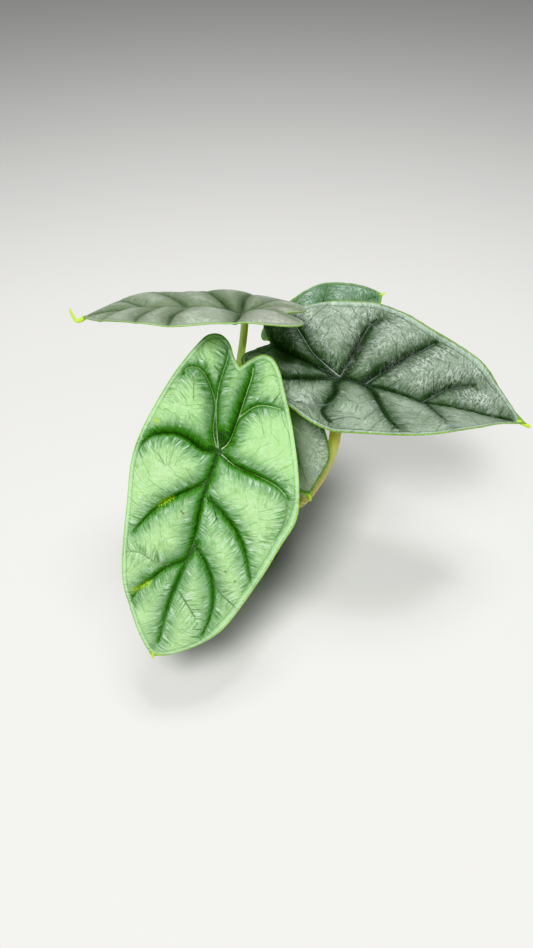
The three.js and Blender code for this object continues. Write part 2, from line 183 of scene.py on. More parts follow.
# %% [markdown]
# Every leaf is described flat, in millimetres, before it is bent: x runs across the blade, y along
# its midrib to the tip, and the stalk joins on at zero. A margin runs from the notch between the
# back lobes to the tip, or to the point where a leaf has one. A vein is the points it runs through,
# how far the dark green spreads to its left and right, how deep it sinks (1 is a main vein), and
# its fine line's tone, from 0 for dark to 1 for pale. Where the green spreads farther on one
# side, that wider side is partly the leaf's own green and partly painted shade.
#
# The junction is where the stalk meets the blade, on the plant. Tipward and facing are the ways
# that the midrib and the upper side look. Rise folds the halves up, twist tilts them, arch and
# tip_lift bend the midrib, curl and wave shape the margin, and relief is how far the veins sink.
# Pleats and wrinkles are shares of the fine relief. Some marks are a leaf's own: a wide band is
# (side, start, end, extra width) of the rim, a heart is a round dark spot (x, y, radius, depth),
# and patches and specks are places of lime and brown. Past lime_from the tip turns lime. The grid
# is how many cells go round the blade and out to its margin. A stalk leaves the crown at an angle,
# leans out, and runs through places on the plant to the junction, from its first radius to the
# last. Its sheath is how far the lower part opens.

# %% The five leaves
LEAVES = {
    "front": {
        "junction": (-7.4, -55.2, 137.8),
        "tipward": (-35, -61.8, -84.4),
        "facing": (0, -0.78, 0.62),
        "length": 112, "lime_from": 107,
        "notch": (3, -43),
        "right": [(7, -46.5), (11.5, -52.5), (17, -55), (22.5, -53), (27, -45), (34, -25),
                  (40, 10), (35.5, 38), (25.5, 78), (19, 89), (9, 103)],
        "left": [(-2, -49.5), (-6, -52.5), (-11, -52), (-16, -47.5), (-22, -38), (-31, -23),
                 (-44, 5), (-47.5, 20), (-44.5, 34), (-39, 58), (-30, 86), (-20.5, 98.5),
                 (-8, 108.5)],
        "grid": (440, 94),
        "rise": (0.02, 0), "twist": (0, 0), "arch": (3, 2), "tip_lift": 0.5,
        "curl": 3, "wave": 0.5, "relief": 5.2, "vein_width": 3.8, "pleats": 0.7, "wrinkles": 1.2,
        "wide_band": (-1, 8, 96, 1.4),
        "hearts": [(1, -7, 8, 0.9)],
        "patches": [((19.7, 33.9), (15.1, 28.7)), ((19.5, 80.7), (12.5, 73.8)),
                    ((33.7, -5.6), (33.2, -5.4))],
        "specks": [(8.3, 33.2), (7.1, 33.9), (-22, 55.2), (-28, 58.6), (-17, 62.7), (34.8, 5.7)],
        "drip_tip": [(0, 109.5, 0), (-0.1, 111, 0), (-0.4, 112.2, -0.1), (-0.9, 113.2, -0.3)],
        "drip_radius": (0.9, 0.5),
        "stalk": {"angle": 245, "lean": 0.5, "through": [(-4, -9, 100), (-6, -26, 123)],
                  "radius": (2.9, 2), "sheath": 0.25},
        "veins": [
            ([(0, 0), (0, 28), (-2, 47), (-1, 67), (0, 84), (-1, 103)], 2.2, 3.6, 1.0, 0.1),
            ([(0, 0), (7, 2), (13, 0), (21, -2), (29, 0), (35, 4), (38, 11)], 1.8, 6.5, 1.0, 0.1),
            ([(0, 12), (4, 19), (10, 24), (18, 32), (24, 42), (28, 51)], 4.0, 2.4, 0.9, 0.05),
            ([(-4, 47), (-2, 56), (6, 63), (11, 70), (17, 79), (19, 86)], 2.6, 3.6, 0.9, 0.05),
            ([(7, 62), (14, 62), (22, 60), (30, 62)], 0.7, 0.7, 0.35, 0.5),
            ([(-3, 22), (-6.5, 27.5), (-10.5, 33)], 1.1, 1.1, 0.5, 0.0),
            ([(-17, 63), (-24, 68), (-32, 72), (-35, 75)], 0.7, 0.7, 0.35, 0.2),
            ([(-3.5, 74), (-9, 78.5), (-15.5, 84.5)], 0.7, 0.7, 0.35, 0.2),
            ([(-2, 1), (-10, 4), (-21, 5), (-33, 7), (-40, 11)], 3.4, 2.6, 1.0, 1.0),
            ([(-38, 9), (-41, 15), (-42, 25), (-40, 33)], 1.2, 1.6, 0.5, 0.4),
            ([(-3, 24), (-11, 28), (-20, 34), (-28, 43), (-33, 52), (-36, 57)], 2.6, 3.0, 0.9,
             0.05),
            ([(-4, 49), (-12, 56), (-17, 63), (-21, 73), (-22, 85), (-21, 92)], 2.2, 3.0, 0.9, 0.0),
            ([(1, -2), (5, -12), (8, -21), (10, -32), (10, -43), (11, -51)], 2.4, 2.4, 0.9, 0.8),
            ([(2, -2), (6, -9), (9, -22), (15, -31), (21, -36), (27, -35), (28, -31)], 1.6, 3.6,
             0.9, 0.7),
            ([(-1, -2), (-3, -5), (-4, -16), (-4, -29), (-4, -41), (-3, -46)], 5.6, 2.0, 1.0, 1.0),
            ([(-4, -19), (-10, -27), (-14, -29), (-23, -30)], 3.2, 2.0, 0.8, 1.0),
        ],
    },
    "left": {
        "junction": (4.1, -3.8, 189.3),
        "tipward": (-87.9, 9.5, -11.7),
        "facing": (0, 0.36, 0.93),
        "length": 89.2, "lime_from": 82,
        "notch": (0, -22),
        "right": [(5, -27), (12, -30), (24, -28), (35, -19), (40, -4), (39, 12), (36, 30), (32, 49),
                  (24, 65), (9, 79)],
        "left": [(-6, -28), (-14, -32), (-25, -30), (-34, -20), (-39, -5), (-40, 12), (-40, 28),
                 (-34, 48), (-18, 65), (-5, 79.5)],
        "point": (1.5, 84),
        "grid": (400, 84),
        "rise": (0, 0), "twist": (0.1, -0.15), "arch": (4, 12), "tip_lift": 4.5,
        "curl": 2, "wave": 1, "relief": 4.4, "vein_width": 3.8, "pleats": 0.4, "wrinkles": 0.5,
        "drip_tip": [(1.5, 82.5, 0), (1.3, 85, -1.3), (1, 87, -1.6), (0.8, 88.3, 0.2),
                     (0.5, 89.2, 3), (0.4, 89.5, 5.5)],
        "drip_radius": (1.2, 0.4),
        "stalk": {"angle": 173, "lean": 0.2,
                  "through": [(-3, 8, 105), (1.8, 8, 145), (4, 5.9, 162), (5.2, 0.5, 177)],
                  "radius": (2.8, 1.85), "sheath": 0.25},
        "veins": [
            ([(0, 0), (1, 25), (1, 50), (0, 86)], 3.0, 3.0, 1.0, 0.4),
            ([(0, 0), (13, 2), (31, 3), (43, 0)], 4.0, 2.6, 1.0, 0.3),
            ([(0, 6), (9, 10), (18, 15), (31, 23), (38, 26)], 3.6, 4.0, 1.0, 0.3),
            ([(1, 28), (9, 33), (21, 42), (30, 51)], 2.6, 2.6, 0.9, 0.3),
            ([(1, 48), (9, 58), (19, 70)], 2.0, 2.0, 0.8, 0.3),
            ([(0, 0), (-10, -1), (-20, -2), (-40, -4)], 3.0, 3.0, 1.0, 0.3),
            ([(1, 20), (-7, 26), (-20, 29), (-38, 27)], 3.0, 2.6, 1.0, 0.3),
            ([(1, 38), (-10, 43), (-24, 45), (-36, 43)], 2.4, 2.4, 0.9, 0.3),
            ([(1, 56), (-6, 63), (-16, 69)], 1.8, 1.8, 0.8, 0.3),
            ([(0, -1), (-1, -9), (-5, -18), (-14, -27)], 2.4, 2.4, 0.9, 0.4),
            ([(1, -1), (7, -9), (12, -18), (12, -27)], 2.4, 2.4, 0.9, 0.4),
            ([(2, -1), (18, -9), (32, -14)], 2.4, 2.0, 0.8, 0.4),
        ],
    },
    "right": {
        "junction": (57.4, -0.8, 147),
        "tipward": (102.2, -13.7, -25),
        "facing": (0, -0.2, 0.98),
        "length": 106.1, "lime_from": 98,
        "notch": (-6, -41),
        "right": [(0, -48), (5, -53), (11, -54), (23, -47), (35, -25), (43, -8), (44.5, 10),
                  (43, 28), (38, 50), (26, 70), (10, 88), (3, 99)],
        "left": [(-11, -45), (-17, -47.5), (-24, -45), (-34, -32), (-43, -18), (-48, -4), (-50, 11),
                 (-46, 28), (-38, 44), (-26, 75), (-14, 88), (-5, 99)],
        "grid": (440, 94),
        "rise": (0.14, 0.62), "twist": (0.15, 0), "arch": (1, 0), "tip_lift": 1,
        "curl": 2, "wave": 0.6, "relief": 5.2, "vein_width": 4, "pleats": 0.8, "wrinkles": 2.4,
        "wide_band": (-1, -20, 90, 1.9),
        "hearts": [(2, -32, 8, 0.5), (1, -20, 7, 0.5), (-1, -9, 9, 0.42)],
        "drip_tip": [(0, 100, 0), (0, 103, -0.2), (0.3, 106, -0.6), (0.6, 108.6, -0.8)],
        "drip_radius": (1.1, 1.0),
        "stalk": {"angle": 317, "lean": 2.5,
                  "through": [(20, -19, 75.5), (34, -29.5, 73), (44, -26, 84), (51, -21, 98),
                              (54.5, -16.6, 111.4)],
                  "radius": (3, 2.3), "sheath": 0.5, "sheath_end": 0.88},
        "veins": [
            ([(0, 0), (1, 16), (3, 31), (4, 51), (3, 69), (0, 96)], 2.0, 2.6, 1.0, 0.1),
            ([(0, 0), (-13, 4), (-24, 7), (-34, 10), (-39, 15)], 3.0, 4.2, 1.0, 0.4),
            ([(1, 14), (-4, 18), (-14, 28), (-23, 38), (-31, 48)], 4.5, 2.4, 1.0, 0.4),
            ([(4, 46), (0, 50), (-7, 58), (-13, 73)], 3.4, 2.4, 0.8, 0.3),
            ([(0, 0), (-9, -17), (-15, -23), (-26, -33)], 3.0, 2.6, 0.9, 1.0),
            ([(0, 0), (-3, -23), (-5, -34), (-10, -44)], 4.6, 3.2, 0.9, 0.2),
            ([(0, 0), (9, -15), (16, -31), (20, -42)], 2.6, 3.0, 0.9, 0.2),
            ([(0, 0), (7, -2), (15, -2), (26, -6), (33, -7), (38, -3)], 2.4, 2.4, 0.9, 0.1),
            ([(2, 12), (4, 16), (16, 21), (28, 25), (37, 30)], 2.4, 2.0, 0.9, 0.1),
            ([(4, 44), (5, 48), (15, 51), (24, 55)], 2.0, 1.8, 0.7, 0.1),
            ([(24, -4), (28, -10), (31, -16), (35, -18)], 0.7, 0.7, 0.4, 0.5),
        ],
    },
    "back": {
        "junction": (39.1, 49.6, 143.6),
        "tipward": (48.5, 26.2, 5),
        "facing": (0, -0.2, 0.98),
        "length": 55.3, "lime_from": 51,
        "notch": (1, -22),
        "right": [(6, -31), (13, -30), (19, -20), (24, -6), (26, 8), (25, 22), (19, 35), (9, 47)],
        "left": [(-3, -27), (-9, -24), (-15, -13), (-20, 0), (-23, 14), (-23, 26), (-16, 40),
                 (-7, 51)],
        "grid": (260, 56),
        "rise": (0.1, 0.1), "twist": (0, 0), "arch": (1, 1), "tip_lift": 0.5,
        "curl": 1.5, "wave": 0.4, "relief": 3, "vein_width": 3, "pleats": 0.8, "wrinkles": 2.2,
        "drip_tip": [(0, 53, 0), (0, 55.3, 0), (0, 57, 0.6)], "drip_radius": (0.7, 0.4),
        "stalk": {"angle": 101, "lean": 0.5, "through": [(8, 14, 95), (31, 40, 124)],
                  "radius": (2.7, 1.7), "sheath": 0.2},
        "veins": [
            ([(0, 0), (1, 25), (0, 50)], 1.6, 1.6, 1.0, 0.4),
            ([(0, 0), (-12, 0), (-24, 8)], 1.6, 1.6, 0.9, 0.7),
            ([(0, 10), (-10, 19), (-21, 30)], 1.6, 1.6, 0.9, 0.7),
            ([(0, 0), (12, 0), (23, 8)], 1.6, 1.6, 0.9, 0.4),
            ([(0, 10), (9, 19), (18, 30)], 1.6, 1.6, 0.9, 0.4),
            ([(0, -1), (-5, -12), (-10, -22)], 1.4, 1.4, 0.8, 0.4),
            ([(0, -1), (5, -13), (9, -24)], 1.4, 1.4, 0.8, 0.4),
        ],
    },
    "low": {
        "junction": (27.9, -16.4, 131.4),
        "tipward": (12.2, -28.5, -37),
        "facing": (-0.1, -0.8, 0.6),
        "length": 49, "lime_from": 43,
        "notch": (0, -12),
        "right": [(4, -16), (9, -15), (14, -8), (17, 2), (18, 14), (16, 26), (11, 36), (4, 45)],
        "left": [(-4, -16), (-9, -14), (-13, -6), (-15, 3), (-16.5, 12), (-17, 21), (-15.5, 30),
                 (-8, 38.5), (-2, 45)],
        "grid": (260, 56),
        "rise": (0.05, 0.05), "twist": (0, 0), "arch": (2, 3), "tip_lift": 0.5,
        "curl": 2, "wave": 0.3, "relief": 2.8, "vein_width": 2.8, "pleats": 0.4, "wrinkles": 1,
        "hearts": [(3, 22, 6, 0.55), (3, 34, 4, 0.45)], "wide_band": (-1, -20, 60, -1.1),
        "drip_tip": [(0, 46.5, 0), (0, 49, 0), (0.3, 50.5, -0.3)], "drip_radius": (0.8, 0.4),
        "stalk": {"angle": 29, "lean": 0.3, "through": [(9, -1, 95), (20, -6, 122)],
                  "radius": (2.7, 1.7), "sheath": 0.2},
        "veins": [
            ([(0, 0), (1, 25), (0, 47)], 1.6, 1.2, 1.0, 0.8),
            ([(0, 0), (9, 0), (17, 6)], 1.4, 1.4, 0.9, 0.3),
            ([(0, 9), (7, 17), (15, 27)], 1.4, 1.4, 0.9, 0.3),
            ([(0, 0), (-9, 0), (-15, 6)], 1.4, 1.4, 0.9, 0.3),
            ([(0, 7), (-4, 13), (-8, 20), (-12, 29)], 1.0, 1.6, 0.6, 0.6),
            ([(0, -1), (4, -9), (9, -17)], 1.2, 1.2, 0.8, 0.3),
            ([(0, -1), (-4, -9), (-8, -17)], 1.2, 1.2, 0.8, 0.3),
        ],
    },
}
print("leaves:", list(LEAVES))

# %% [markdown]
# A smooth curve through a few corner points gives the margin, the veins and later the stalks.
# The shape needs the distance from any place on the blade to each line, so one function measures
# that, with the side that the place is on and how far along the line it lies.

# %% Smooth lines
CURVE_STEPS, VEIN_STEPS = 30, 16


def smooth_line(corners, steps):
    """Points at equal steps of length on a smooth curve through the corners."""
    points = np.array(corners, float)
    points = np.vstack([2 * points[0] - points[1], points, 2 * points[-1] - points[-2]])
    share = np.linspace(0, 1, CURVE_STEPS, endpoint=False)[:, None]
    fine = []
    for before, start, end, after in zip(points, points[1:], points[2:], points[3:]):
        d0, d1, d2 = (np.sqrt(np.linalg.norm(b - a))
                      for a, b in ((before, start), (start, end), (end, after)))
        leave = ((start - before) / d0 - (end - before) / (d0 + d1) + (end - start) / d1) * d1
        arrive = ((end - start) / d1 - (after - start) / (d1 + d2) + (after - end) / d2) * d1
        cubic = 2 * start - 2 * end + leave + arrive
        square = -3 * start + 3 * end - 2 * leave - arrive
        fine.append(start + share * (leave + share * (square + share * cubic)))
    fine = np.vstack([*fine, points[-2][None]])
    length = np.concatenate([[0], np.cumsum(np.linalg.norm(np.diff(fine, axis=0), axis=1))])
    wanted = np.linspace(0, length[-1], steps + 1)
    return np.column_stack([np.interp(wanted, length, fine[:, k]) for k in range(fine.shape[1])])


def measure(places, line):
    """From each place to a line: distance, side (1 left, -1 right) and length along the line."""
    start, step = line[:-1], np.diff(line, axis=0)
    length = np.linalg.norm(step, axis=1)
    off = places[:, None] - start
    share = np.clip((off * step).sum(2) / length**2, 0, 1)
    distance = np.linalg.norm(off - share[..., None] * step, axis=2)
    near = distance.argmin(1)
    row = np.arange(len(places))
    side = step[near, 0] * off[row, near, 1] - step[near, 1] * off[row, near, 0]
    along = np.concatenate([[0], np.cumsum(length)])[near] + share[row, near] * length[near]
    return distance[row, near], np.where(side > 0, 1.0, -1.0), along


def margin_of(leaf, steps):
    """The whole margin: up the right side from the notch to the tip, and back down the left."""
    tip = leaf.get("point", (0, leaf["length"]))
    up = smooth_line([leaf["notch"], *leaf["right"], tip], steps // 2)
    down = smooth_line([leaf["notch"], *leaf["left"], tip], steps // 2)[::-1]
    return np.vstack([up, down[1:]])


GRID_SHARE = 1.0
for name, leaf in LEAVES.items():
    leaf["grid"] = tuple(2 * round(GRID_SHARE * cells / 2) for cells in leaf["grid"])
    leaf["margin"] = margin_of(leaf, leaf["grid"][0])
    leaf["lines"] = [smooth_line(vein[0], VEIN_STEPS) for vein in leaf["veins"]]
print("length of the front leaf's margin in mm:",
      round(np.linalg.norm(np.diff(LEAVES["front"]["margin"], axis=0), axis=1).sum()))

# %% [markdown]
# The veins are measured once for each blade. Past its end a vein's line is carried straight on, so
# that a pattern drawn along the vein doesn't curl round the end like a fingerprint.

# %% Measures from the veins
OVERRUN = 40


def soft_step(value, low, high):
    """0 below low and 1 above high, with a soft step between them."""
    share = np.clip((value - low) / (high - low), 0, 1)
    return share * share * (3 - 2 * share)


def noise_at(places):
    """Smooth noise from -1 to 1 at each place, one lump to a unit."""
    return np.array([noise.noise(Vector(place)) for place in places])


def vein_fields(leaf, places):
    """For each place (rows) and vein (columns): distance, distance to the line carried on, side,
    length along, and the same as a share of the vein."""
    columns = []
    for line in leaf["lines"]:
        steps = np.linalg.norm(np.diff(line, axis=0), axis=1)
        onward = line[-1] + (line[-1] - line[-2]) / steps[-1] * OVERRUN
        away, side, along = measure(places, np.vstack([line, onward]))
        length = steps.sum()
        distance = np.where(along > length, np.linalg.norm(places - line[-1], axis=1), away)
        columns.append((distance, away, side, along, np.minimum(along / length, 1)))
    return np.array(columns).transpose(1, 2, 0)


print("measures from the veins are ready")

# %% [markdown]
# A blade could be sculpted, but its form follows rules: it folds up on both sides of the midrib,
# arches, curls down at the margin and sinks steeply into each vein, so that it swells like a
# cushion between them. These are added up as one height over the flat leaf.

# %% Height of a blade
FOLD_ROUNDING = 3
WAVE_LENGTH, WAVE_SHIFT = 48, 1.7
TIP_START = 0.92
VEIN_DEPTH, VEIN_TAPER = 0.95, 0.45
MARGIN_FLATNESS = 0.88


def blade_height(leaf, places, out, fields):
    """Height over the flat leaf at each place. Out is 0 at the stalk and 1 at the margin."""
    x, y = places.T
    side = np.abs(x)
    tipward = np.maximum(0, y) / leaf["length"]
    lobeward = np.maximum(0, -y) / leaf["length"]
    rise = leaf["rise"][0] + leaf["rise"][1] * tipward
    height = rise * side**2 / (side + FOLD_ROUNDING)
    height += x * (leaf["twist"][0] * tipward + leaf["twist"][1] * lobeward)
    height += leaf["tip_lift"] * soft_step(tipward, TIP_START, 1)
    height += 4 * (leaf["arch"][0] * tipward * (1 - tipward) - leaf["arch"][1] * lobeward**2)
    phase = 2 * np.pi * y / WAVE_LENGTH + np.where(x > 0, 0, WAVE_SHIFT)
    height += leaf["wave"] * np.sin(phase) * out**3 - leaf["curl"] * out**4
    distance, share = fields[0], fields[4]
    depth = np.array([vein[3] for vein in leaf["veins"]])
    width = leaf["vein_width"] * (1 - VEIN_TAPER * share)
    sunk = VEIN_DEPTH * depth * (1 - VEIN_TAPER * share**2) * np.exp(-distance / width)
    valleys = 1 - np.prod(1 - sunk, axis=1)
    return height - leaf["relief"] * valleys * (1 - MARGIN_FLATNESS * out**6)


print("the height of a blade is a function of its place")

# %% [markdown]
# Finer forms ride on that height. A crease runs along the bottom of each vein, the skin beside it
# is pleated in fine ripples that run away from the vein, small wrinkles cover the open skin, and
# wide soft puckers quilt the cushions. The marginal vein, which runs round the whole leaf a little
# inside its edge, is a shallow groove. Each is kept clear of the vein or the margin by soft steps.

# %% Fine relief of a blade
CREASE_DEPTH, CREASE_WIDTH = 0.35, 0.7
PLEAT_DEPTH, PLEAT_STEP, PLEAT_STRETCH = 0.24, 1.15, 5
WRINKLE_DEPTH, WRINKLE_STEP = 0.12, 2.2
PUCKER_DEPTH, PUCKER_STEP = 0.55, 7.0
MARGIN_VEIN, MARGIN_GROOVE, GROOVE_WIDTH = 2.3, 0.3, 0.7
MARGIN_STRIDE = 4  # every fourth point of the margin is near enough to measure from
BAND_SWELL = 12
SLANT = 0.45  # how far pleats and feathers lean back for each millimetre away from the vein
WATERSHED = 3.5  # pleats fade where two veins are equally near
PLEAT_FADE, PLEAT_CLEAR = (-11, -1), (1, 4)
WRINKLE_CLEAR, PUCKER_CLEAR, PUCKER_MARGIN = (0.8, 3), (1.5, 6), (1, 6)


def margin_distance(leaf, flat):
    """Distance to the margin, scaled so that the marginal vein always lies at MARGIN_VEIN."""
    edge = measure(flat, leaf["margin"][::MARGIN_STRIDE])[0]
    side, start, end, wider = leaf.get("wide_band", (1, 0, 0, 0))
    x, y = flat.T
    spread = wider * soft_step(y, start, start + BAND_SWELL) * soft_step(-y, -end, BAND_SWELL - end)
    return edge * MARGIN_VEIN / (MARGIN_VEIN + spread * (x * side > 0))


def fine_relief(leaf, flat, edge, fields, strength):
    """The height of the fine forms at each place, and the pleats alone, for the colours."""
    distance, _, side, along, _ = fields
    row = np.arange(len(flat))
    nearest, second = distance.argsort(1)[:, :2].T
    off = distance[row, nearest]
    apart = soft_step(distance[row, second] - off, 0, WATERSHED)
    slanted = along[row, nearest] - SLANT * off
    lane = 9.0 * nearest + 4.0 * side[row, nearest]
    steps = (slanted / PLEAT_STEP, off / (PLEAT_STRETCH * PLEAT_STEP), lane)
    pleats = noise_at(np.column_stack(steps))
    pleats = pleats * soft_step(-off, *PLEAT_FADE) * soft_step(edge, *PLEAT_CLEAR) * apart
    wrinkles = noise_at(np.column_stack([flat / WRINKLE_STEP, np.full(len(flat), 9.0)]))
    wrinkles = wrinkles * soft_step(off, *WRINKLE_CLEAR)
    puckers = noise_at(np.column_stack([flat / PUCKER_STEP, np.zeros(len(flat))]))
    open_skin = soft_step(off, *PUCKER_CLEAR) * soft_step(edge, *PUCKER_MARGIN)
    crease = (CREASE_DEPTH * strength * np.exp(-distance / CREASE_WIDTH)).max(1)
    groove = MARGIN_GROOVE * np.exp(-(((edge - MARGIN_VEIN) / GROOVE_WIDTH) ** 2))
    relief = leaf["pleats"] * PLEAT_DEPTH * pleats + leaf["wrinkles"] * WRINKLE_DEPTH * wrinkles
    relief += PUCKER_DEPTH * puckers * open_skin - crease - groove
    return relief, pleats


print("fine relief is ready")

# %% [markdown]
# The blade starts as a primitive grid. Its columns go round the leaf and its rows go out from the
# stalk to the margin, so the grid is wrapped on to the flat leaf and lifted by the height. The
# first row falls together in the middle and the two ends meet at the notch, so doubles are
# merged. Solidify gives the thickness, less at the margin, and a second slot for the underside.

# %% Tools for the blades
BLADE_THICKNESS = 0.8
MARGIN_SHARE = 0.35  # how thick the margin is, as a share of that
SAME_PLACE = 0.001
VEIN_OFFSET = 60  # keeps the patterns of two veins apart in the map


def leaf_frame(leaf):
    """The matrix from the flat leaf in millimetres to the plant in metres."""
    y = Vector(leaf["tipward"]).normalized()
    z = Vector(leaf["facing"])
    z = (z - y * z.dot(y)).normalized()
    x = y.cross(z)
    turned = Matrix((x, y, z)).transposed().to_4x4()
    return Matrix.Translation(Vector(leaf["junction"]) * MM) @ turned @ Matrix.Scale(MM, 4)


def store(mesh, name, values):
    """Keeps a number for each point or each corner of a mesh."""
    domain = "POINT" if len(values) == len(mesh.vertices) else "CORNER"
    layer = mesh.attributes.new(name, "FLOAT", domain)
    layer.data.foreach_set("value", np.asarray(values, np.float32))


def store_map(mesh, name, places):
    """Keeps a place for each corner of a mesh, as a UV map."""
    layer = mesh.uv_layers.new(name=name)
    layer.data.foreach_set("uv", np.asarray(places, np.float32).ravel())


def corner_vertices(mesh):
    """The number of the point at each corner of a mesh."""
    corners = np.empty(len(mesh.loops), int)
    mesh.loops.foreach_get("vertex_index", corners)
    return corners


def new_grid(name, columns, rows):
    """A primitive grid, with the column and the row of each of its points."""
    bpy.ops.mesh.primitive_grid_add(x_subdivisions=columns, y_subdivisions=rows, size=1)
    sheet = bpy.context.object
    sheet.name = name
    places = np.array([v.co[:2] for v in sheet.data.vertices]) + 0.5
    return sheet, *np.rint(places * (columns, rows)).astype(int).T


def edit_all(step=None, **settings):
    """Runs a mesh operator on the whole of the active piece, and turns its faces outwards."""
    bpy.ops.object.mode_set(mode="EDIT")
    bpy.ops.mesh.select_all(action="SELECT")
    if step:
        step(**settings)
        bpy.ops.mesh.select_all(action="SELECT")
    bpy.ops.mesh.normals_make_consistent(inside=False)
    bpy.ops.object.mode_set(mode="OBJECT")


def close_up():
    """Merges the points of the active piece that fell together."""
    edit_all(bpy.ops.mesh.remove_doubles, threshold=SAME_PLACE * MM)


def thicken(sheet, thickness_mm, **settings):
    """Gives a sheet its thickness, half of it to each side."""
    thickness = sheet.modifiers.new("thickness", "SOLIDIFY")
    for name, value in {"thickness": thickness_mm * MM, "offset": 0, **settings}.items():
        setattr(thickness, name, value)
    bpy.ops.object.modifier_apply(modifier="thickness")


print("tools for the blades are ready")

# %% [markdown]
# The colours have to follow the veins, so the mesh carries their measures: a UV map of millimetres
# along and across the nearest vein, and a second one of the flat leaf. Numbers tell how deep the
# dark green is (dark) and how far its paler flank spreads, where the pleats rise, where the fine
# line at the bottom of a vein shows and how pale it is, how far the margin is, and where the lime
# patches and the dark specks are. The paler flank is partly the leaf's own green and partly
# painted shade.

# %% Build the blades
TIP_COLOUR_FADE = 4
HALO_REACH = 6.2
GREEN_TAPER, GREEN_FADE, LINE_END = 0.4, 0.3, 0.12
BODY = 0.999  # all of the blade but its outermost row, which stays thin
PATCH_RADIUS, SPECK_RADIUS = 1.8, 0.8


def nearness(flat, marks, radius):
    """How near each place is to any of the short lines that the marks are drawn along."""
    near = np.zeros(len(flat))
    for start, end in marks:
        line = np.array([start, np.add(end, (0.001, 0))], float)
        near = np.maximum(near, np.exp(-((measure(flat, line)[0] / radius) ** 2)))
    return near


def build_blade(name, leaf):
    """A blade with its form, its thickness and the measures that its colours follow."""
    around, rings = leaf["grid"]
    blade, column, row = new_grid(f"leaf_blade_{name}", around, rings)
    mesh = blade.data
    out = row / rings
    flat = leaf["margin"][column] * out[:, None]
    fields = vein_fields(leaf, flat)
    distance, away, side, along, share = fields

    left, right, depth, tone = np.array([vein[1:] for vein in leaf["veins"]]).T
    # Where the green reaches farther on one side of a vein, it is partly painted shade there.
    reach = np.where(side > 0, left, right) * (1 - GREEN_TAPER * share)
    fading = depth * (1 - GREEN_FADE * share**2)
    dark = (fading * np.exp(-((distance / reach) ** 1.3))).max(1)
    # The broad paler flank: partly the leaf's own green, partly painted shade.
    flank_shade = (fading * np.exp(-((distance / (reach + HALO_REACH)) ** 1.5))).max(1)
    for x, y, radius, shade in leaf.get("hearts", []):
        dark = np.maximum(dark, shade * np.exp(-((flat - (x, y)) ** 2).sum(1) / radius**2))
    strength = depth * soft_step(1 - share, 0, LINE_END)
    edge = margin_distance(leaf, flat)
    relief, pleats = fine_relief(leaf, flat, edge, fields, strength)
    height = blade_height(leaf, flat, out, fields) + relief
    mesh.vertices.foreach_set("co", np.column_stack([flat, height]).ravel())
    mesh.transform(leaf_frame(leaf))

    corners = corner_vertices(mesh)
    owner = np.repeat(distance[corners.reshape(-1, 4)].mean(1).argmin(1), 4)
    across = (away * side)[corners, owner]
    along = along[corners, owner] + VEIN_OFFSET * owner
    store_map(mesh, "vein_mm", np.column_stack([along, across]))
    store_map(mesh, "leaf_mm", flat[corners])
    lime = soft_step(flat[:, 1], leaf["lime_from"], leaf["lime_from"] + TIP_COLOUR_FADE)
    specks = [(place, place) for place in leaf.get("specks", [])]
    numbers = {
        "dark": dark, "flank_shade": flank_shade, "edge_mm": edge * (1 - lime), "pleat": pleats,
        "line": strength[corners, owner], "tone": tone[owner],
        "patch": nearness(flat, leaf.get("patches", []), PATCH_RADIUS),
        "speck": nearness(flat, specks, SPECK_RADIUS),
    }
    for key, values in numbers.items():
        store(mesh, key, values)

    body = blade.vertex_groups.new(name="body")
    body.add(np.flatnonzero(out < BODY).tolist(), 1.0, "REPLACE")
    close_up()
    up = leaf_frame(leaf).to_3x3() @ Vector((0, 0, 1))
    if sum(polygon.normal.dot(up) for polygon in mesh.polygons) < 0:
        mesh.flip_normals()
    for _ in ("upper skin", "underside"):
        bpy.ops.object.material_slot_add()
    thicken(blade, BLADE_THICKNESS, vertex_group="body", thickness_vertex_group=MARGIN_SHARE,
            material_offset=1)
    bpy.ops.object.shade_smooth()
    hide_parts(f"blade_{name}")
    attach(blade, "root")
    bpy.ops.object.select_all(action="DESELECT")
    return blade


blades = {name: build_blade(name, leaf) for name, leaf in LEAVES.items()}
for blade in blades.values():
    print(blade.name, "faces:", len(blade.data.polygons))

# %% [markdown]
# A silver dragon leaf has a waxy skin over a tissue full of air, which is what makes it silver.
# Along the veins there is no air under the skin, so they show dark green, and the silver breaks
# into them in fine feathers. The pattern is drawn along and across the nearest vein, from the UV
# map in millimetres: noise that is fine along the vein and long across it makes the feathers. A
# shorter one makes the crinkles, whose silver mottling is mixed with painted shade and painted
# highlights, and thin lines along them are painted glints. Near a vein the rising feathers and
# pleats get silver that is partly a painted highlight, and their hollows a grey green that is
# partly painted shade. Farther out lies a paler green flank, partly the leaf's own colour and
# partly painted shade, streaked by the silver between the feathers. Mostly on the right leaf, the
# crinkles' painted shade and highlights go on the far half, which mirrors the overhead light.
# Round the leaf runs a band with a pale line in it, between the marginal vein and the lime edge.
# The wax gives the eye a soft gloss, so the shader has a clear coat.

# %% Leaf finishes
FEATHER = (0.8, 9.0, 0.0)  # step and length in mm, and how much the noise is distorted
CRINKLE = (1.0, 2.0, 0.8)
CLOUD_SCALE, GRAIN_SCALE = 0.09, 1.4
RUNG_STEP, RUNG_WANDER = 7.0, 2.2  # small veins that branch off a main one like a ladder's rungs
NET_STEP, NET_WANDER = 4.5, 0.05
LINE_HALF_WIDTH = 0.3
PLEAT_SHARE, GREEN_BREAK, GLINT_ON_GREEN, GRAIN_BREAK = 0.3, 0.7, 0.45, 4.0
LEAF_IOR = 1.45
CRINKLE_RISE, GRAIN_RISE, VEINLET_RISE = 0.8, 0.15, -0.25  # beside the feathers, which rise by 1
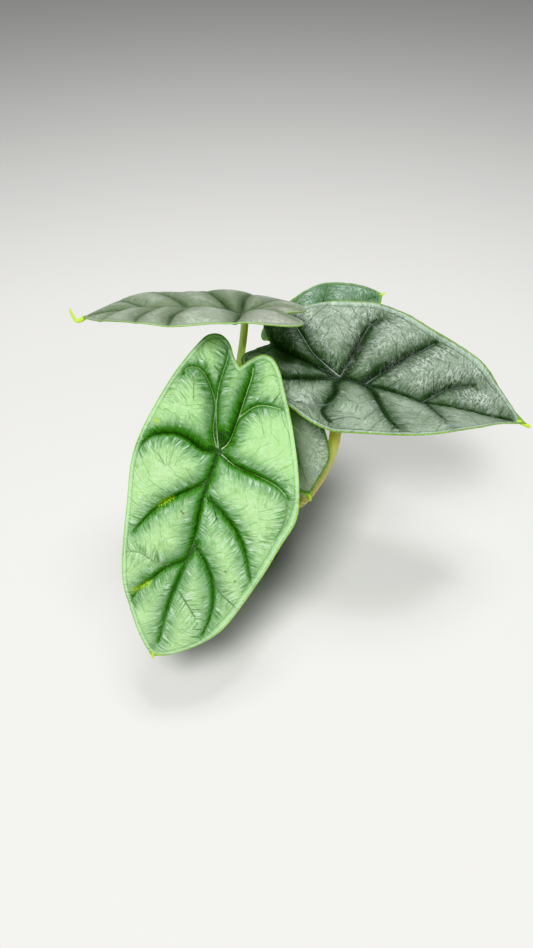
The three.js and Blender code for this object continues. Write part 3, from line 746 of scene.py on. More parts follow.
# Soft steps: from, to, and, where they are given, the values at the two ends.
BESIDE_VEIN = (1.5, 10.0, 0.95, 0.1)
LOBES_Y, HALVES_X, CUSHION_CENTRE = (-20.0, 10.0), (-6.0, 6.0), (5.0, 13.0)
# Crinkles: silver mottling with painted shade and painted highlights, and painted glints:
CRINKLE_SHADE, CRINKLE_FROST = (0.42, 0.72), (0.58, 0.28)
GLINT_LEVEL, GLINT_WIDTH, GLINT_CLOUD = 0.47, (0.0, 0.035), (0.4, 0.6)
MOTTLE_CLOUD = (0.35, 0.6, 0.5, 1.0)
# Gaps get vein green, crests a partly painted highlight, hollows a partly painted shade:
GAP_RIPPLE, GAP_HALO, LIT_RIPPLE, LIT_DARK = (-0.2, -0.03), (0.15, 0.6), (0.0, 0.25), (0.25, 0.8)
SHADED_HOLLOW_RIPPLE = (-0.14, -0.01)
ON_RUNG, ON_NET = (0.12, 0.5, 1.0, 0.0), (0.0, 0.05, 0.4, 0.0)
# The vein's green, and its broad flank, which is partly painted shade:
GREEN_EDGE, GREEN_DEEP, GREEN_HALO = (0.22, 0.68), (0.62, 1.0), (0.1, 0.8, 0.0, 0.9)
PALE_LINE, FLANK_LINE = (0.05, 0.45), (0.05, 0.4, 0.6, 0.0)
ON_PATCH, ON_SPECK = (0.5, 1.0, 0.0, 0.85), (0.3, 0.75, 0.0, 0.75)


def leaf_material(name, palette):
    """The waxy upper skin of a leaf blade, from a few colours and strengths of it."""
    material, shader, add = new_material(name)
    vein_mm, leaf_mm = (add("UVMap", uv_map=key) for key in ("vein_mm", "leaf_mm"))
    along, across, _ = add("SeparateXYZ", vein_mm).node.outputs
    leaf_x, leaf_y, _ = add("SeparateXYZ", leaf_mm).node.outputs
    off = add("ABSOLUTE", across)
    slanted = add("MULTIPLY_ADD", off, -SLANT, along)
    dark, flank_shade, pleat, line, tone, edge, patch, speck = (
        add("Attribute", attribute_name=key)
        for key in ("dark", "flank_shade", "pleat", "line", "tone", "edge_mm", "patch", "speck"))

    cloud, grain = (add("TexNoise", Vector=leaf_mm, Scale=scale, Detail=3.0, Roughness=0.6)
                    for scale in (CLOUD_SCALE, GRAIN_SCALE))
    feather, crinkle = (
        add("TexNoise", Scale=1.0, Detail=3.0, Roughness=0.65, Distortion=distortion,
            Vector=add("CombineXYZ", add("DIVIDE", slanted, step), add("DIVIDE", across, length)))
        for step, length, distortion in (FEATHER, CRINKLE))
    beside = add("MULTIPLY", add("MapRange", off, *BESIDE_VEIN), palette["feathers"])
    ripple = add("MULTIPLY_ADD", pleat, PLEAT_SHARE * palette["feathers"],
                 add("MULTIPLY", add("SUBTRACT", feather, 0.5), beside))
    green = add("MULTIPLY_ADD", dark, palette["darkness"], ripple)
    spread = add("MULTIPLY_ADD", ripple, GREEN_BREAK, flank_shade)

    # Crinkle shade and highlights are painted mostly on the far half, which mirrors the light.
    one_half = add("MapRange", leaf_x, *HALVES_X, 1.0, palette["near_half_mottle_and_light"])
    flecked = add("MULTIPLY", one_half,
                  add("MapRange", off, *CUSHION_CENTRE, palette["mottle"], palette["centres"]))
    mottle = add("MULTIPLY", flecked, add("MapRange", cloud, *MOTTLE_CLOUD))
    # Painted glints: thin silver lines along the crinkles stand in for highlights.
    level = add("ABSOLUTE", add("SUBTRACT", crinkle, GLINT_LEVEL))
    painted_glint = add("MULTIPLY", add("MapRange", level, *GLINT_WIDTH, palette["painted_glint"], 0.0),
                add("MULTIPLY", add("MapRange", cloud, *GLINT_CLOUD), flecked))
    gap = add("MULTIPLY", add("MapRange", ripple, *GAP_RIPPLE, palette["feather_streaks_and_painted_light"], 0.0),
              add("MapRange", flank_shade, *GAP_HALO))
    # Painted highlight: silver on the rising feathers and pleats near a vein.
    painted_highlight = add("MULTIPLY", add("MapRange", ripple, *LIT_RIPPLE),
              add("MapRange", dark, *LIT_DARK, palette["feather_streaks_and_painted_light"], 0.0))

    wander = add("TexNoise", Vector=leaf_mm, Scale=0.05, Detail=1.0, Roughness=0.5)
    rung = add("MULTIPLY_ADD", wander, RUNG_WANDER, add("DIVIDE", slanted, RUNG_STEP))
    rung = add("MULTIPLY", add("PINGPONG", rung, 0.5), RUNG_STEP)
    bent_mm = add("Mix", NET_WANDER,
                  add("VectorMath", leaf_mm, Scale=1 / NET_STEP, operation="SCALE"),
                  add("TexNoise", Vector=leaf_mm, Scale=0.15, output="Color"),
                  blend_type="LINEAR_LIGHT")
    net = add("TexVoronoi", Vector=bent_mm, Scale=1.0, feature="DISTANCE_TO_EDGE")
    veinlet = add("MULTIPLY", palette["net_strength"],
                  add("MAXIMUM", add("MapRange", rung, *ON_RUNG), add("MapRange", net, *ON_NET)))

    fine_line = add("MULTIPLY", add("MapRange", line, 0.0, 0.3),
                    add("MapRange", off, LINE_HALF_WIDTH, 2 * LINE_HALF_WIDTH, 0.8, 0.0))
    in_band = add("MULTIPLY", add("MapRange", crinkle, *MIDDLE, 0.75, palette["band_even"]),
                  add("MapRange", edge, MARGIN_VEIN - 0.3, MARGIN_VEIN + 0.1, 1.0, 0.0))
    from_vein, from_middle = (add("ABSOLUTE", add("SUBTRACT", edge, share * MARGIN_VEIN))
                              for share in (1.0, 0.5))
    broken = add("MULTIPLY_ADD", add("SUBTRACT", grain, 0.5), GRAIN_BREAK, patch)

    skin = layered(
        add, palette["tissue"],
        (add("MapRange", cloud, *MIDDLE), palette["tissue_2"]),
        # Lobe tone; on the front leaf it is painted light for the shade of the left leaf.
        (add("MapRange", leaf_y, *LOBES_Y, palette["lobing"], 0.0), palette["lobe_tone_and_light"]),
        # Silver mottling of the crinkles, with painted shade and painted highlights.
        (add("MULTIPLY", add("MapRange", crinkle, *CRINKLE_SHADE), mottle), palette["shade"]),
        (add("MULTIPLY", add("MapRange", crinkle, *CRINKLE_FROST), mottle), palette["silver_and_highlight"]),
        # Painted glints.
        (painted_glint, palette["silver_and_highlight"]),
        # Grey green in feather and pleat hollows, partly painted shade.
        (add("MapRange", ripple, *SHADED_HOLLOW_RIPPLE, palette["feather_streaks_and_painted_light"], 0.0), palette["flank_green_and_shade"]),
        (veinlet, palette["net"]),
        # The broad flank: partly the leaf's own paler green, partly painted shade.
        (add("MapRange", spread, *GREEN_HALO), palette["flank_green_and_shade"]),
        (gap, palette["vein"]),
        # Silver on the crests near a vein, partly a painted highlight.
        (painted_highlight, palette["silver_and_highlight"]),
        (add("MapRange", green, *GREEN_EDGE), palette["vein"]),
        (add("MapRange", green, *GREEN_DEEP), palette["vein_deep"]),
        # Painted glints over the green as well.
        (add("MULTIPLY", painted_glint, GLINT_ON_GREEN), palette["silver_and_highlight"]),
        (fine_line, add("Mix", tone, palette["line_dark"], palette["line_pale"])),
        (in_band, palette["band"]),
        (add("MapRange", from_middle, *PALE_LINE, palette["pale_rim"], 0.0), palette["silver_and_highlight"]),
        (add("MapRange", from_vein, *FLANK_LINE), palette["flank_green_and_shade"]),
        (add("MapRange", edge, 0.6 * palette["rim"], 1.2 * palette["rim"], 1.0, 0.0),
         palette["edge"]),
        (add("MapRange", broken, *ON_PATCH), palette["patch"]),
        (add("MapRange", speck, *ON_SPECK), palette["speck"]),
    )

    height = ripple
    for part, rise in ((crinkle, CRINKLE_RISE), (grain, GRAIN_RISE), (veinlet, VEINLET_RISE)):
        height = add("MULTIPLY_ADD", part, rise, height)
    bump = add("Bump", Height=height, Distance=palette["bump"] * MM)
    rough = palette["roughness"]
    fill(shader, {
        "Base Color": skin, "IOR": LEAF_IOR, "Normal": bump, "Coat Normal": bump,
        "Roughness": add("MapRange", grain, 0.2, 0.8, rough - 0.06, rough + 0.1),
        "Coat Weight": palette["coat"], "Coat Roughness": palette["coat_roughness"],
    })
    return material


print("leaf finish is ready")

# %% [markdown]
# No two leaves of the plant look alike: the front one is young and mint green, and the others are
# grey, dark or dull with age and shade. Each row below is one colour or strength of a look, for the
# front, left, right, back and low leaf.

# %% The looks of the five leaves
LOOKS = {
    # The silver tissue: its two tones, the painted shade and the silver with painted highlights
    # that mottle its crinkles, how much of that shows beside the veins, in the centres and on the
    # near half, and the painted glints.
    "tissue": ("#95bb7c", "#899482", "#8c9f88", "#6a8a72", "#839580"),
    "tissue_2": ("#a8cd8f", "#9aa592", "#9dae98", "#7a997c", "#94a48d"),
    "shade": ("#79aa61", "#5a6553", "#46603f", "#3d6140", "#6f846a"),
    "silver_and_highlight": ("#dcf5dc", "#abb5a5", "#e2ede3", "#c8dacb", "#c6d1c0"),
    "mottle": (0.28, 0.85, 0.95, 0.9, 0.95),
    "centres": (0.28, 0.7, 0.3, 0.5, 0.95),
    "near_half_mottle_and_light": (1.0, 1.0, 0.16, 0.7, 0.8),
    "painted_glint": (0.12, 0.3, 0.95, 0.8, 0.3),
    # The tone of the back lobes: on the front leaf a lighter green, painted light where the left
    # leaf shades them; on the left leaf a grey tone.
    "lobe_tone_and_light": ("#a9d78c", "#9f9d93", "#4a614a", "#6b8a70", "#94a58d"),
    "lobing": (0.8, 0.6, 0.0, 0.0, 0.0),
    # The green along the veins, how deep it is, its flank, partly painted shade, and how the
    # silver breaks into it, with painted highlights on the crests and painted shade in hollows.
    "vein": ("#2f7208", "#46593c", "#243f18", "#2a5522", "#6b8260"),
    "vein_deep": ("#164303", "#2c3b23", "#10240b", "#1a3f15", "#56714c"),
    "flank_green_and_shade": ("#588653", "#5e6d53", "#3f5c38", "#43703f", "#7f9376"),
    "darkness": (1.15, 1.0, 1.35, 1.2, 1.0),
    "feathers": (1.15, 0.7, 0.9, 0.6, 0.5),
    "feather_streaks_and_painted_light": (0.62, 0.5, 0.55, 0.5, 0.4),
    # The net of small veins, and the fine line at the bottom of a main one.
    "net": ("#5a9744", "#5c6853", "#3f5a40", "#4a7a44", "#7b9272"),
    "net_strength": (0.5, 0.3, 0.5, 0.35, 0.3),
    "line_dark": ("#1c4a08", "#2d3b25", "#0b1c0e", "#1c4016", "#465f3c"),
    "line_pale": ("#a3c590", "#83927a", "#b4c6b8", "#9cbd90", "#d8e3cc"),
    # The band outside the marginal vein, and the lime edge with its width in mm.
    "band": ("#93c07e", "#7d9170", "#a3bba6", "#4a7f30", "#47791c"),
    "band_even": (0.15, 0.15, 0.25, 0.4, 0.95),
    "pale_rim": (0.28, 0.15, 0.3, 0.2, 0.0),
    "edge": ("#97c840", "#7a9c4c", "#84b044", "#79ad35", "#86b040"),
    "rim": (0.4, 0.35, 0.65, 0.8, 0.45),
    # Lime patches and dark specks.
    "patch": ("#9cbf2a", "#9bb040", "#8fae3a", "#8fae3a", "#8fae3a"),
    "speck": ("#4a4d14", "#4a4d14", "#2a2c14", "#2a2c14", "#2a2c14"),
    # The wax: how soft its mirror is, how much of it there is, and its relief in mm.
    "roughness": (0.34, 0.42, 0.3, 0.3, 0.42),
    "coat": (0.35, 0.1, 1.0, 0.9, 0.1),
    "coat_roughness": (0.18, 0.25, 0.1, 0.12, 0.25),
    "bump": (1.0, 0.6, 2.6, 2.2, 1.0),
}
SLOTS = ("young_leaf", "silver_leaf", "dark_leaf", "green_leaf", "dull_leaf")
palettes = [{key: looks[i] for key, looks in LOOKS.items()} for i in range(len(SLOTS))]
print("looks:", len(LOOKS), "rows for", len(palettes), "leaves")

# %% [markdown]
# The underside has no wax and no air below its skin. It gives the eye a matt, even green with soft
# clouds, against the glossy top, and its ribs are paler.

# %% Leaf undersides
under, shader, add = new_material("matt leaf underside")
cloud = add("TexNoise", Vector=add("UVMap", uv_map="leaf_mm"), Scale=0.12, Detail=4.0)
rib = add("Attribute", attribute_name="dark")
skin = layered(add, "#7d9f70", (add("MapRange", cloud, *MIDDLE), "#8fae80"),
               (add("MapRange", rib, 0.5, 0.95), "#a9c48f"))
fill(shader, {"Base Color": skin, "Roughness": 0.6, "IOR": LEAF_IOR})

for blade, slot, palette in zip(blades.values(), SLOTS, palettes):
    blade.data.materials[0] = leaf_material(f"waxy {slot.replace('_', ' ')}", palette)
    blade.data.materials[1] = under
print("leaf finishes:", SLOTS)

# %% [markdown]
# A stalk could be a curve with a round bevel, but its section changes: it is a plain rod near the
# blade, and lower down it opens into a sheath, a gutter with two thin wings that held the next
# leaf. So a grid is rolled up into a tube, and each of its rings is put on the stalk's route with
# the section that belongs there. The top ring follows the blade's underside, so the two join. The
# outer side of a wing dries to a pale skin, so the mesh carries how dry each point is.

# %% Tools for the stalks
STALK_SIDES, STALK_RINGS = 56, 120
STALK_FOOT, STALK_RING_RADIUS = 61, 5.6
CROWN_TOP = 72
SHEATH_START, SHEATH_END, SHEATH_FADE = 8, 0.43, 0.25
WING_ANGLE, WING_WIDTH, GUTTER_WIDTH = (math.radians(angle) for angle in (48, 15, 34))
WING_LIFT, GUTTER_DEPTH = 0.45, 1.1  # as shares of the stalk's radius
DRY_SIDE = (-WING_ANGLE - 1.05, -WING_ANGLE - 0.8)  # angles round the stalk, in radians
DRY_START, DRY_END = 0.2, (-0.28, -0.2)
FLARE, FLARE_LENGTH = 0.35, 5
BELOW_SKIN = 0.7
NEAR_JUNCTION = 0.05
SMOOTH_ANGLE = math.radians(50)


def build_tube(name, rings, **numbers):
    """A closed tube through rings of points in millimetres, with a UV map of its surface."""
    count, sides = rings.shape[:2]
    tube, column, row = new_grid(name, sides, count - 1)
    mesh = tube.data
    mesh.vertices.foreach_set("co", (rings[row, column % sides] * MM).ravel())
    middle = rings.mean(1)
    lengths = np.concatenate([[0], np.cumsum(np.linalg.norm(np.diff(middle, axis=0), axis=1))])
    girth = np.linalg.norm(rings - middle[:, None], axis=2).mean() * 2 * np.pi
    places = np.column_stack([lengths[row], column / sides * girth])
    store_map(mesh, "stalk_mm", places[corner_vertices(mesh)])
    for key, values in numbers.items():
        store(mesh, key, values[row, column % sides])
    close_up()
    edit_all(bpy.ops.mesh.fill_holes, sides=0)
    bpy.ops.object.shade_smooth_by_angle(angle=SMOOTH_ANGLE)
    bpy.ops.object.select_all(action="DESELECT")
    return tube


def unit(vectors):
    """Rows of vectors, each brought to a length of one."""
    return vectors / np.linalg.norm(vectors, axis=1)[:, None]


def stalk_rings(leaf):
    """The rings of a stalk, with how dry each point is and how near the bottom of the gutter."""
    stalk = leaf["stalk"]
    angle = math.radians(stalk["angle"])
    outward = np.array([math.cos(angle), math.sin(angle), 0])
    sideways = np.array([-outward[1], outward[0], 0])
    to_plant = np.array(leaf_frame(leaf)) / MM
    axes, junction = to_plant[:3, :3], to_plant[:3, 3]
    origin = np.zeros((1, 2))
    seat = blade_height(leaf, origin, np.zeros(1), vein_fields(leaf, origin))[0]
    top = junction + axes @ (0, 0, seat - BELOW_SKIN)
    foot = outward * STALK_RING_RADIUS + (0, 0, STALK_FOOT)
    emerging = outward * (STALK_RING_RADIUS + stalk["lean"]) + (0, 0, CROWN_TOP - 1)
    route = smooth_line([foot, emerging, *stalk["through"], top], STALK_RINGS)
    tangent = unit(np.gradient(route, axis=0))
    across = unit(sideways - tangent * (tangent @ sideways)[:, None])
    inward = np.cross(tangent, across)

    share = np.linspace(0, 1, STALK_RINGS + 1)
    opened = soft_step(route[:, 2], CROWN_TOP, CROWN_TOP + SHEATH_START)
    end = stalk.get("sheath_end", SHEATH_END)
    opened *= 1 - soft_step(share, end - SHEATH_FADE / 2, end + SHEATH_FADE / 2)
    left = (1 - share) * np.linalg.norm(np.diff(route, axis=0), axis=1).sum()
    foot_radius, top_radius = stalk["radius"]
    radius = foot_radius + (top_radius - foot_radius) * share
    radius = radius * (1 + FLARE * np.exp(-left / FLARE_LENGTH))
    turn = np.linspace(0, 2 * np.pi, STALK_SIDES, endpoint=False)
    from_inside = np.abs(np.angle(np.exp(1j * (turn - np.pi / 2))))
    wing = np.exp(-(((from_inside - WING_ANGLE) / WING_WIDTH) ** 2))
    gutter = np.exp(-((from_inside / GUTTER_WIDTH) ** 2))
    force = (opened * stalk["sheath"] / 0.5)[:, None]
    wide = 1 + stalk["sheath"] * opened[:, None]
    x = radius[:, None] * wide * np.cos(turn)
    y = radius[:, None] * (np.sin(turn) + force * (WING_LIFT * wing - GUTTER_DEPTH * gutter))
    rings = route[:, None] + x[..., None] * across[:, None] + y[..., None] * inward[:, None]

    flat = ((rings - junction) @ axes)[-1]
    fields = vein_fields(leaf, flat[:, :2])
    height = blade_height(leaf, flat[:, :2], np.full(STALK_SIDES, NEAR_JUNCTION), fields)
    reach = (height - BELOW_SKIN - flat[:, 2]) / (tangent[-1] @ axes[:, 2])
    near_top = np.exp(-((left / FLARE_LENGTH) ** 2))
    rings += near_top[:, None, None] * reach[None, :, None] * tangent[-1]
    dry = soft_step(from_inside, WING_ANGLE - DRY_START, WING_ANGLE)
    dry *= soft_step(-from_inside, *DRY_SIDE)
    dry_end = 1 - soft_step(share, end + DRY_END[0], end + DRY_END[1])
    return rings, (opened * dry_end)[:, None] * dry, opened[:, None] * gutter


print("tools for the stalks are ready")

# %% Build the stalks
stalks = {}
for name, leaf in LEAVES.items():
    rings, wing, gutter = stalk_rings(leaf)
    stalk = build_tube(f"leaf_stalk_{name}", rings, wing=wing, gutter=gutter)
    stalks[name] = stalk
    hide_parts(f"stalk_{name}")
    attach(stalk, "root")
print("stalks:", [stalk.name for stalk in stalks.values()])

# %% [markdown]
# A leaf ends in a drip tip, a thin lime tail that water runs off. The blade's grid is too coarse
# there, so each tail is a short tube of its own, rolled up like a stalk. It follows a curve that is
# given in the flat leaf, with its height over the blade's tip, and tapers to a blunt point.

# %% Drip tips
TAIL_RINGS = 24
TAIL_POINT = 0.06  # the share of the tail that its blunt point takes up


def tail_rings(leaf):
    """Rings round a curve that leaves the leaf's tip, from the first radius to the last."""
    corners = np.array(leaf["drip_tip"], float)
    start = corners[:1, :2]
    corners[:, 2] += blade_height(leaf, start, np.ones(1), vein_fields(leaf, start))[0]
    to_plant = np.array(leaf_frame(leaf)) / MM
    line = smooth_line(corners, TAIL_RINGS) @ to_plant[:3, :3].T + to_plant[:3, 3]
    tangent = unit(np.gradient(line, axis=0))
    across = unit(np.cross(tangent, to_plant[:3, 2]))
    upward = np.cross(across, tangent)
    share = np.linspace(0, 1, TAIL_RINGS + 1)
    wide, narrow = leaf["drip_radius"]
    blunt = np.sqrt(np.clip((1 - share) / TAIL_POINT, 0.05, 1))
    radius = (wide + (narrow - wide) * share**1.5) * blunt
    turn = np.linspace(0, 2 * np.pi, STALK_SIDES, endpoint=False)[None, :, None]
    section = np.cos(turn) * across[:, None] + np.sin(turn) * upward[:, None]
    return line[:, None] + radius[:, None, None] * section


tips = {}
for name, leaf in LEAVES.items():
    tips[name] = build_tube(f"drip_tip_{name}", tail_rings(leaf))
    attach(tips[name], "root")
print("drip tips:", [tip.name for tip in tips.values()])

# %% [markdown]
# Young stalks are smooth, juicy and lime green, with fine fibres along them and paler feet. The
# oldest one has turned olive, with brown mottling low down, and its sheath has a dry cream lining
# inside the gutter and a pale dry wing. Light passes a little way into such a stalk before it comes
# back, so the shader has some subsurface scattering. A drip tip is the same wet lime flesh, drawn
# out thin, and gives the eye a bright point at the end of a blade.

# %% Stalk finishes
FIBRE_STEP, FIBRE_LENGTH = 0.35, 9.0
FIBRE_DEPTH = 0.08
STALK_IOR = 1.42
LIGHT_DEPTH, LIGHT_SPREAD = 1.5, (0.6, 1.0, 0.3)  # in mm, and its share in red, green and blue


def stalk_material(name, palette):
    """The skin of a leaf stalk, with fibres that run along it."""
    material, shader, add = new_material(name)
    along, around, _ = add("SeparateXYZ", add("UVMap", uv_map="stalk_mm")).node.outputs
    fibre = add("TexNoise", Scale=1.0, Detail=2.0,
                Vector=add("CombineXYZ", add("DIVIDE", along, FIBRE_LENGTH),
                           add("DIVIDE", around, FIBRE_STEP)))
    blotch = add("TexNoise", Vector=in_mm(add), Scale=0.5, Detail=4.0, Roughness=0.65)
    wing, gutter = (add("Attribute", attribute_name=key) for key in ("wing", "gutter"))
    low = add("MapRange", along, palette["foot_end"], 0.3 * palette["foot_end"])
    skin = layered(
        add, palette["skin"],
        (add("MapRange", fibre, *MIDDLE), palette["skin_2"]),
        (add("MULTIPLY", low, 0.7), palette["foot"]),
        (add("MULTIPLY", add("MapRange", blotch, 0.42, 0.6), low), palette["mottle"]),
        (add("MapRange", gutter, 0.25, 0.7), palette["lining"]),
        (add("MapRange", wing, 0.6, 0.95), palette["wing"]),
    )
    fill(shader, {
        "Base Color": skin, "Roughness": palette["roughness"], "IOR": STALK_IOR,
        "Subsurface Weight": 0.15, "Subsurface Radius": LIGHT_SPREAD,
        "Subsurface Scale": LIGHT_DEPTH * MM,
        "Normal": add("Bump", Height=fibre, Distance=FIBRE_DEPTH * MM),
    })
    return material


FRESH = {"skin": "#b3d25c", "skin_2": "#c6e07c", "foot": "#cfd9a0", "mottle": "#c7b48a",
         "lining": "#cddca0", "wing": "#b8cf7c", "foot_end": 18.0, "roughness": 0.36}
AGED = {"skin": "#c6c656", "skin_2": "#d6d47a", "foot": "#c9c386", "mottle": "#7d6a3c",
        "lining": "#f0e6d2", "wing": "#f1ead0", "foot_end": 90.0, "roughness": 0.42}
young_stalk = stalk_material("smooth young stalk", FRESH)
old_stalk = stalk_material("ageing olive stalk", AGED)
for name, stalk in stalks.items():
    stalk.data.materials.append(old_stalk if name == "right" else young_stalk)
print("stalk finishes:", young_stalk.name, old_stalk.name)

# %% Drip tip finish
lime, shader, add = new_material("waxy lime drip tip")
cloud = add("TexNoise", Vector=in_mm(add), Scale=1.5, Detail=2.0)
skin = layered(add, "#9fc92c", (add("MapRange", cloud, *MIDDLE), "#bedb4c"))
fill(shader, {"Base Color": skin, "Roughness": 0.35, "IOR": LEAF_IOR})
for tip in tips.values():
    tip.data.materials.append(lime)
print("drip tip finish:", lime.name)

# %% [markdown]
# All stalks grow from the crown, a short stem ringed by the scars of old leaves. It is rolled up
# from a grid like the stalks, with each ring's radius set by a scar or by the waist between two.
# Dry papery scales, the remains of the sheaths of lost leaves, stand round it.

# %% Crown
CROWN_FOOT = 42.3
CROWN_RADIUS = 9.3
CROWN_ROUNDING = 5
CROWN_SIDES, CROWN_RINGS = 96, 90
SCAR_STEP, SCAR_DEPTH = 3.2, 0.35
CROWN_LUMP, LUMP_SHARE = 6, 0.05

height = np.linspace(CROWN_FOOT, CROWN_TOP - 0.3, CROWN_RINGS)
turn = np.linspace(0, 2 * np.pi, CROWN_SIDES, endpoint=False)
shoulder = np.sqrt(np.clip((CROWN_TOP - height) / CROWN_ROUNDING, 0, 1))
foot_round = np.sqrt(np.clip((height - CROWN_FOOT + 0.6) / CROWN_ROUNDING, 0, 1))
scars = SCAR_DEPTH * (1 - np.abs(np.sin(np.pi * height / SCAR_STEP)) ** 0.35)
base_radius = (CROWN_RADIUS - scars) * (0.25 + 0.75 * shoulder) * (0.6 + 0.4 * foot_round)
rings = np.empty((CROWN_RINGS, CROWN_SIDES, 3))
rings[..., 0] = base_radius[:, None] * np.cos(turn)
rings[..., 1] = base_radius[:, None] * np.sin(turn)
rings[..., 2] = height[:, None]
lumps = noise_at(rings.reshape(-1, 3) / CROWN_LUMP).reshape(rings.shape[:2])
rings[..., :2] *= 1 - LUMP_SHARE * np.abs(lumps)[..., None]
crown = build_tube("crown_stem", rings)
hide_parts("crown")
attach(crown, "root")
print("crown:", len(crown.data.polygons), "faces")

# %% Papery scales
SCALES = [  # for each: its angle, how tall it is, and the angle it spans
    (20, 17, 95), (100, 12, 70), (165, 19, 100), (215, 10, 60), (285, 15, 80),
]
SCALE_ACROSS, SCALE_UP = 24, 20
SCALE_THICKNESS = 0.25
SCALE_GAP, SCALE_LEAN, SCALE_BURIED = 0.6, 1.2, 2
SOIL_LEVEL = 58


def build_scale(number, middle, tall, spread):
    """A dry scale: a grid bent round the crown, narrowed to a torn tip."""
    scale, column, row = new_grid(f"papery_scale_{number}", SCALE_ACROSS, SCALE_UP)
    across = 2 * column / SCALE_ACROSS - 1
    up = row / SCALE_UP
    torn = noise_at(np.column_stack([3 * across, np.full(len(up), 5.0 * number), 0 * up]))
    angle = np.radians(middle + 0.5 * spread * across * (1 - 0.75 * up**2))
    radius = CROWN_RADIUS + SCALE_GAP + SCALE_LEAN * up + 0.9 * up**3 * (1 + torn)
    z = SOIL_LEVEL - SCALE_BURIED + up * tall * (1 - 0.35 * np.abs(across) + 0.15 * torn)
    places = np.column_stack([radius * np.cos(angle), radius * np.sin(angle), z]) * MM
    scale.data.vertices.foreach_set("co", places.ravel())
    scale.data.update()
    thicken(scale, SCALE_THICKNESS)
    edit_all()
    bpy.ops.object.shade_smooth()
    bpy.ops.object.select_all(action="DESELECT")
    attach(scale, "root")
    return scale


scales = [build_scale(number, *size) for number, size in enumerate(SCALES)]
print("papery scales:", len(scales))

# %% [markdown]
# The crown is green and olive between brown corky scars, and rough to the eye. The scales are tan
# and thin as paper, with dark fibres along them. Both are drawn on Object coordinates, turned to
# millimetres, and have a relief of a real depth.

# %% Crown finishes
CORK_DEPTH, PAPER_DEPTH = 0.5, 0.15
PAPER_FIBRE = (2.2, 2.2, 0.16)  # fibres to a millimetre, across and along

stem, shader, add = new_material("scarred alocasia stem")
place = in_mm(add)
ring = add("PINGPONG", add("DIVIDE", add("SeparateXYZ", place, output=2), SCAR_STEP), 0.5)
blotch = add("TexNoise", Vector=place, Scale=0.45, Detail=5.0)
skin = layered(add, "#8f9a4a", (add("MapRange", blotch, *MIDDLE), "#7a6b3c"),
               (add("MapRange", ring, 0.03, 0.14, 0.85, 0.0), "#4d3a22"))
fill(shader, {"Base Color": skin, "Roughness": 0.62,
              "Normal": add("Bump", Height=blotch, Distance=CORK_DEPTH * MM)})
crown.data.materials.append(stem)

paper_scale, shader, add = new_material("dry papery sheath")
stretched = add("VectorMath", in_mm(add), PAPER_FIBRE, operation="MULTIPLY")
fibre = add("TexNoise", Vector=stretched, Scale=1.0, Detail=3.0)
skin = layered(add, "#c2a26a", (add("MapRange", fibre, *MIDDLE), "#7d5a30"))
fill(shader, {"Base Color": skin, "Roughness": 0.7,
              "Normal": add("Bump", Height=fibre, Distance=PAPER_DEPTH * MM)})
for scale in scales:
    scale.data.materials.append(paper_scale)
print("crown finishes:", stem.name, paper_scale.name)

# %% [markdown]
# The nursery pot is thin moulded plastic. It starts as a plain cylinder with many sides. Its top is
# widened for the taper, extruded out and up for the rim, inset by the wall and pushed down to make
# the inside. A Bevel modifier rounds the edges, and a Boolean cuts the drain holes.

# %% Pot
POT_HEIGHT, POT_RIM_RADIUS, POT_BASE_RADIUS = 65, 37.5, 25
POT_WALL, POT_FLOOR = 1.4, 2
RIM_HEIGHT, RIM_STEP = 8, 1.6
POT_SIDES, DRILL_SIDES = 128, 32
DRAIN_HOLES, DRAIN_RADIUS, DRAIN_RING_RADIUS = 6, 3, 17
POT_EDGE = 0.5
EDGE_ANGLE, POT_SMOOTH_ANGLE = math.radians(30), math.radians(35)

rim_foot = POT_HEIGHT - RIM_HEIGHT
wall_top = POT_RIM_RADIUS - RIM_STEP
bpy.ops.mesh.primitive_cylinder_add(vertices=POT_SIDES, radius=POT_BASE_RADIUS * MM,
                                    depth=rim_foot * MM, location=(0, 0, rim_foot / 2 * MM))
pot = bpy.context.object
pot.name = "nursery_pot"
bpy.ops.object.transform_apply(location=True)


def select_top(piece):
    """Selects the topmost flat face, leaving edit mode to do it and going back."""
    bpy.ops.object.mode_set(mode="EDIT")
    bpy.ops.mesh.select_mode(type="FACE")
    bpy.ops.mesh.select_all(action="DESELECT")
    bpy.ops.object.mode_set(mode="OBJECT")
    flat = [face for face in piece.data.polygons if face.normal.z > 0.99]
    max(flat, key=lambda face: face.center.z).select = True
    bpy.ops.object.mode_set(mode="EDIT")


def widen(radius, new_radius):
    """Scales the selected face to a new radius, at the same height."""
    bpy.ops.transform.resize(value=(new_radius / radius, new_radius / radius, 1))


def extrude_up(distance):
    """Draws the selected face out by millimetres, upwards or, if negative, down."""
    bpy.ops.mesh.extrude_region_move(TRANSFORM_OT_translate={"value": (0, 0, distance * MM)})


select_top(pot)
widen(POT_BASE_RADIUS, wall_top)
extrude_up(0)
widen(wall_top, POT_RIM_RADIUS)
extrude_up(RIM_HEIGHT)
extrude_up(0)
widen(POT_RIM_RADIUS, POT_RIM_RADIUS - POT_WALL)
extrude_up(RIM_STEP - RIM_HEIGHT)
extrude_up(-RIM_STEP)
widen(POT_RIM_RADIUS - POT_WALL, wall_top - POT_WALL)
floor_radius = POT_BASE_RADIUS + (wall_top - POT_BASE_RADIUS) * POT_FLOOR / rim_foot - POT_WALL
extrude_up(POT_FLOOR - rim_foot)
widen(wall_top - POT_WALL, floor_radius)
bpy.ops.object.mode_set(mode="OBJECT")

rounding = pot.modifiers.new("rounded_edges", "BEVEL")
rounding.width = POT_EDGE * MM
rounding.segments = 2
rounding.limit_method = "ANGLE"
rounding.angle_limit = EDGE_ANGLE
bpy.ops.object.modifier_apply(modifier="rounded_edges")
print("pot:", len(pot.data.polygons), "faces")

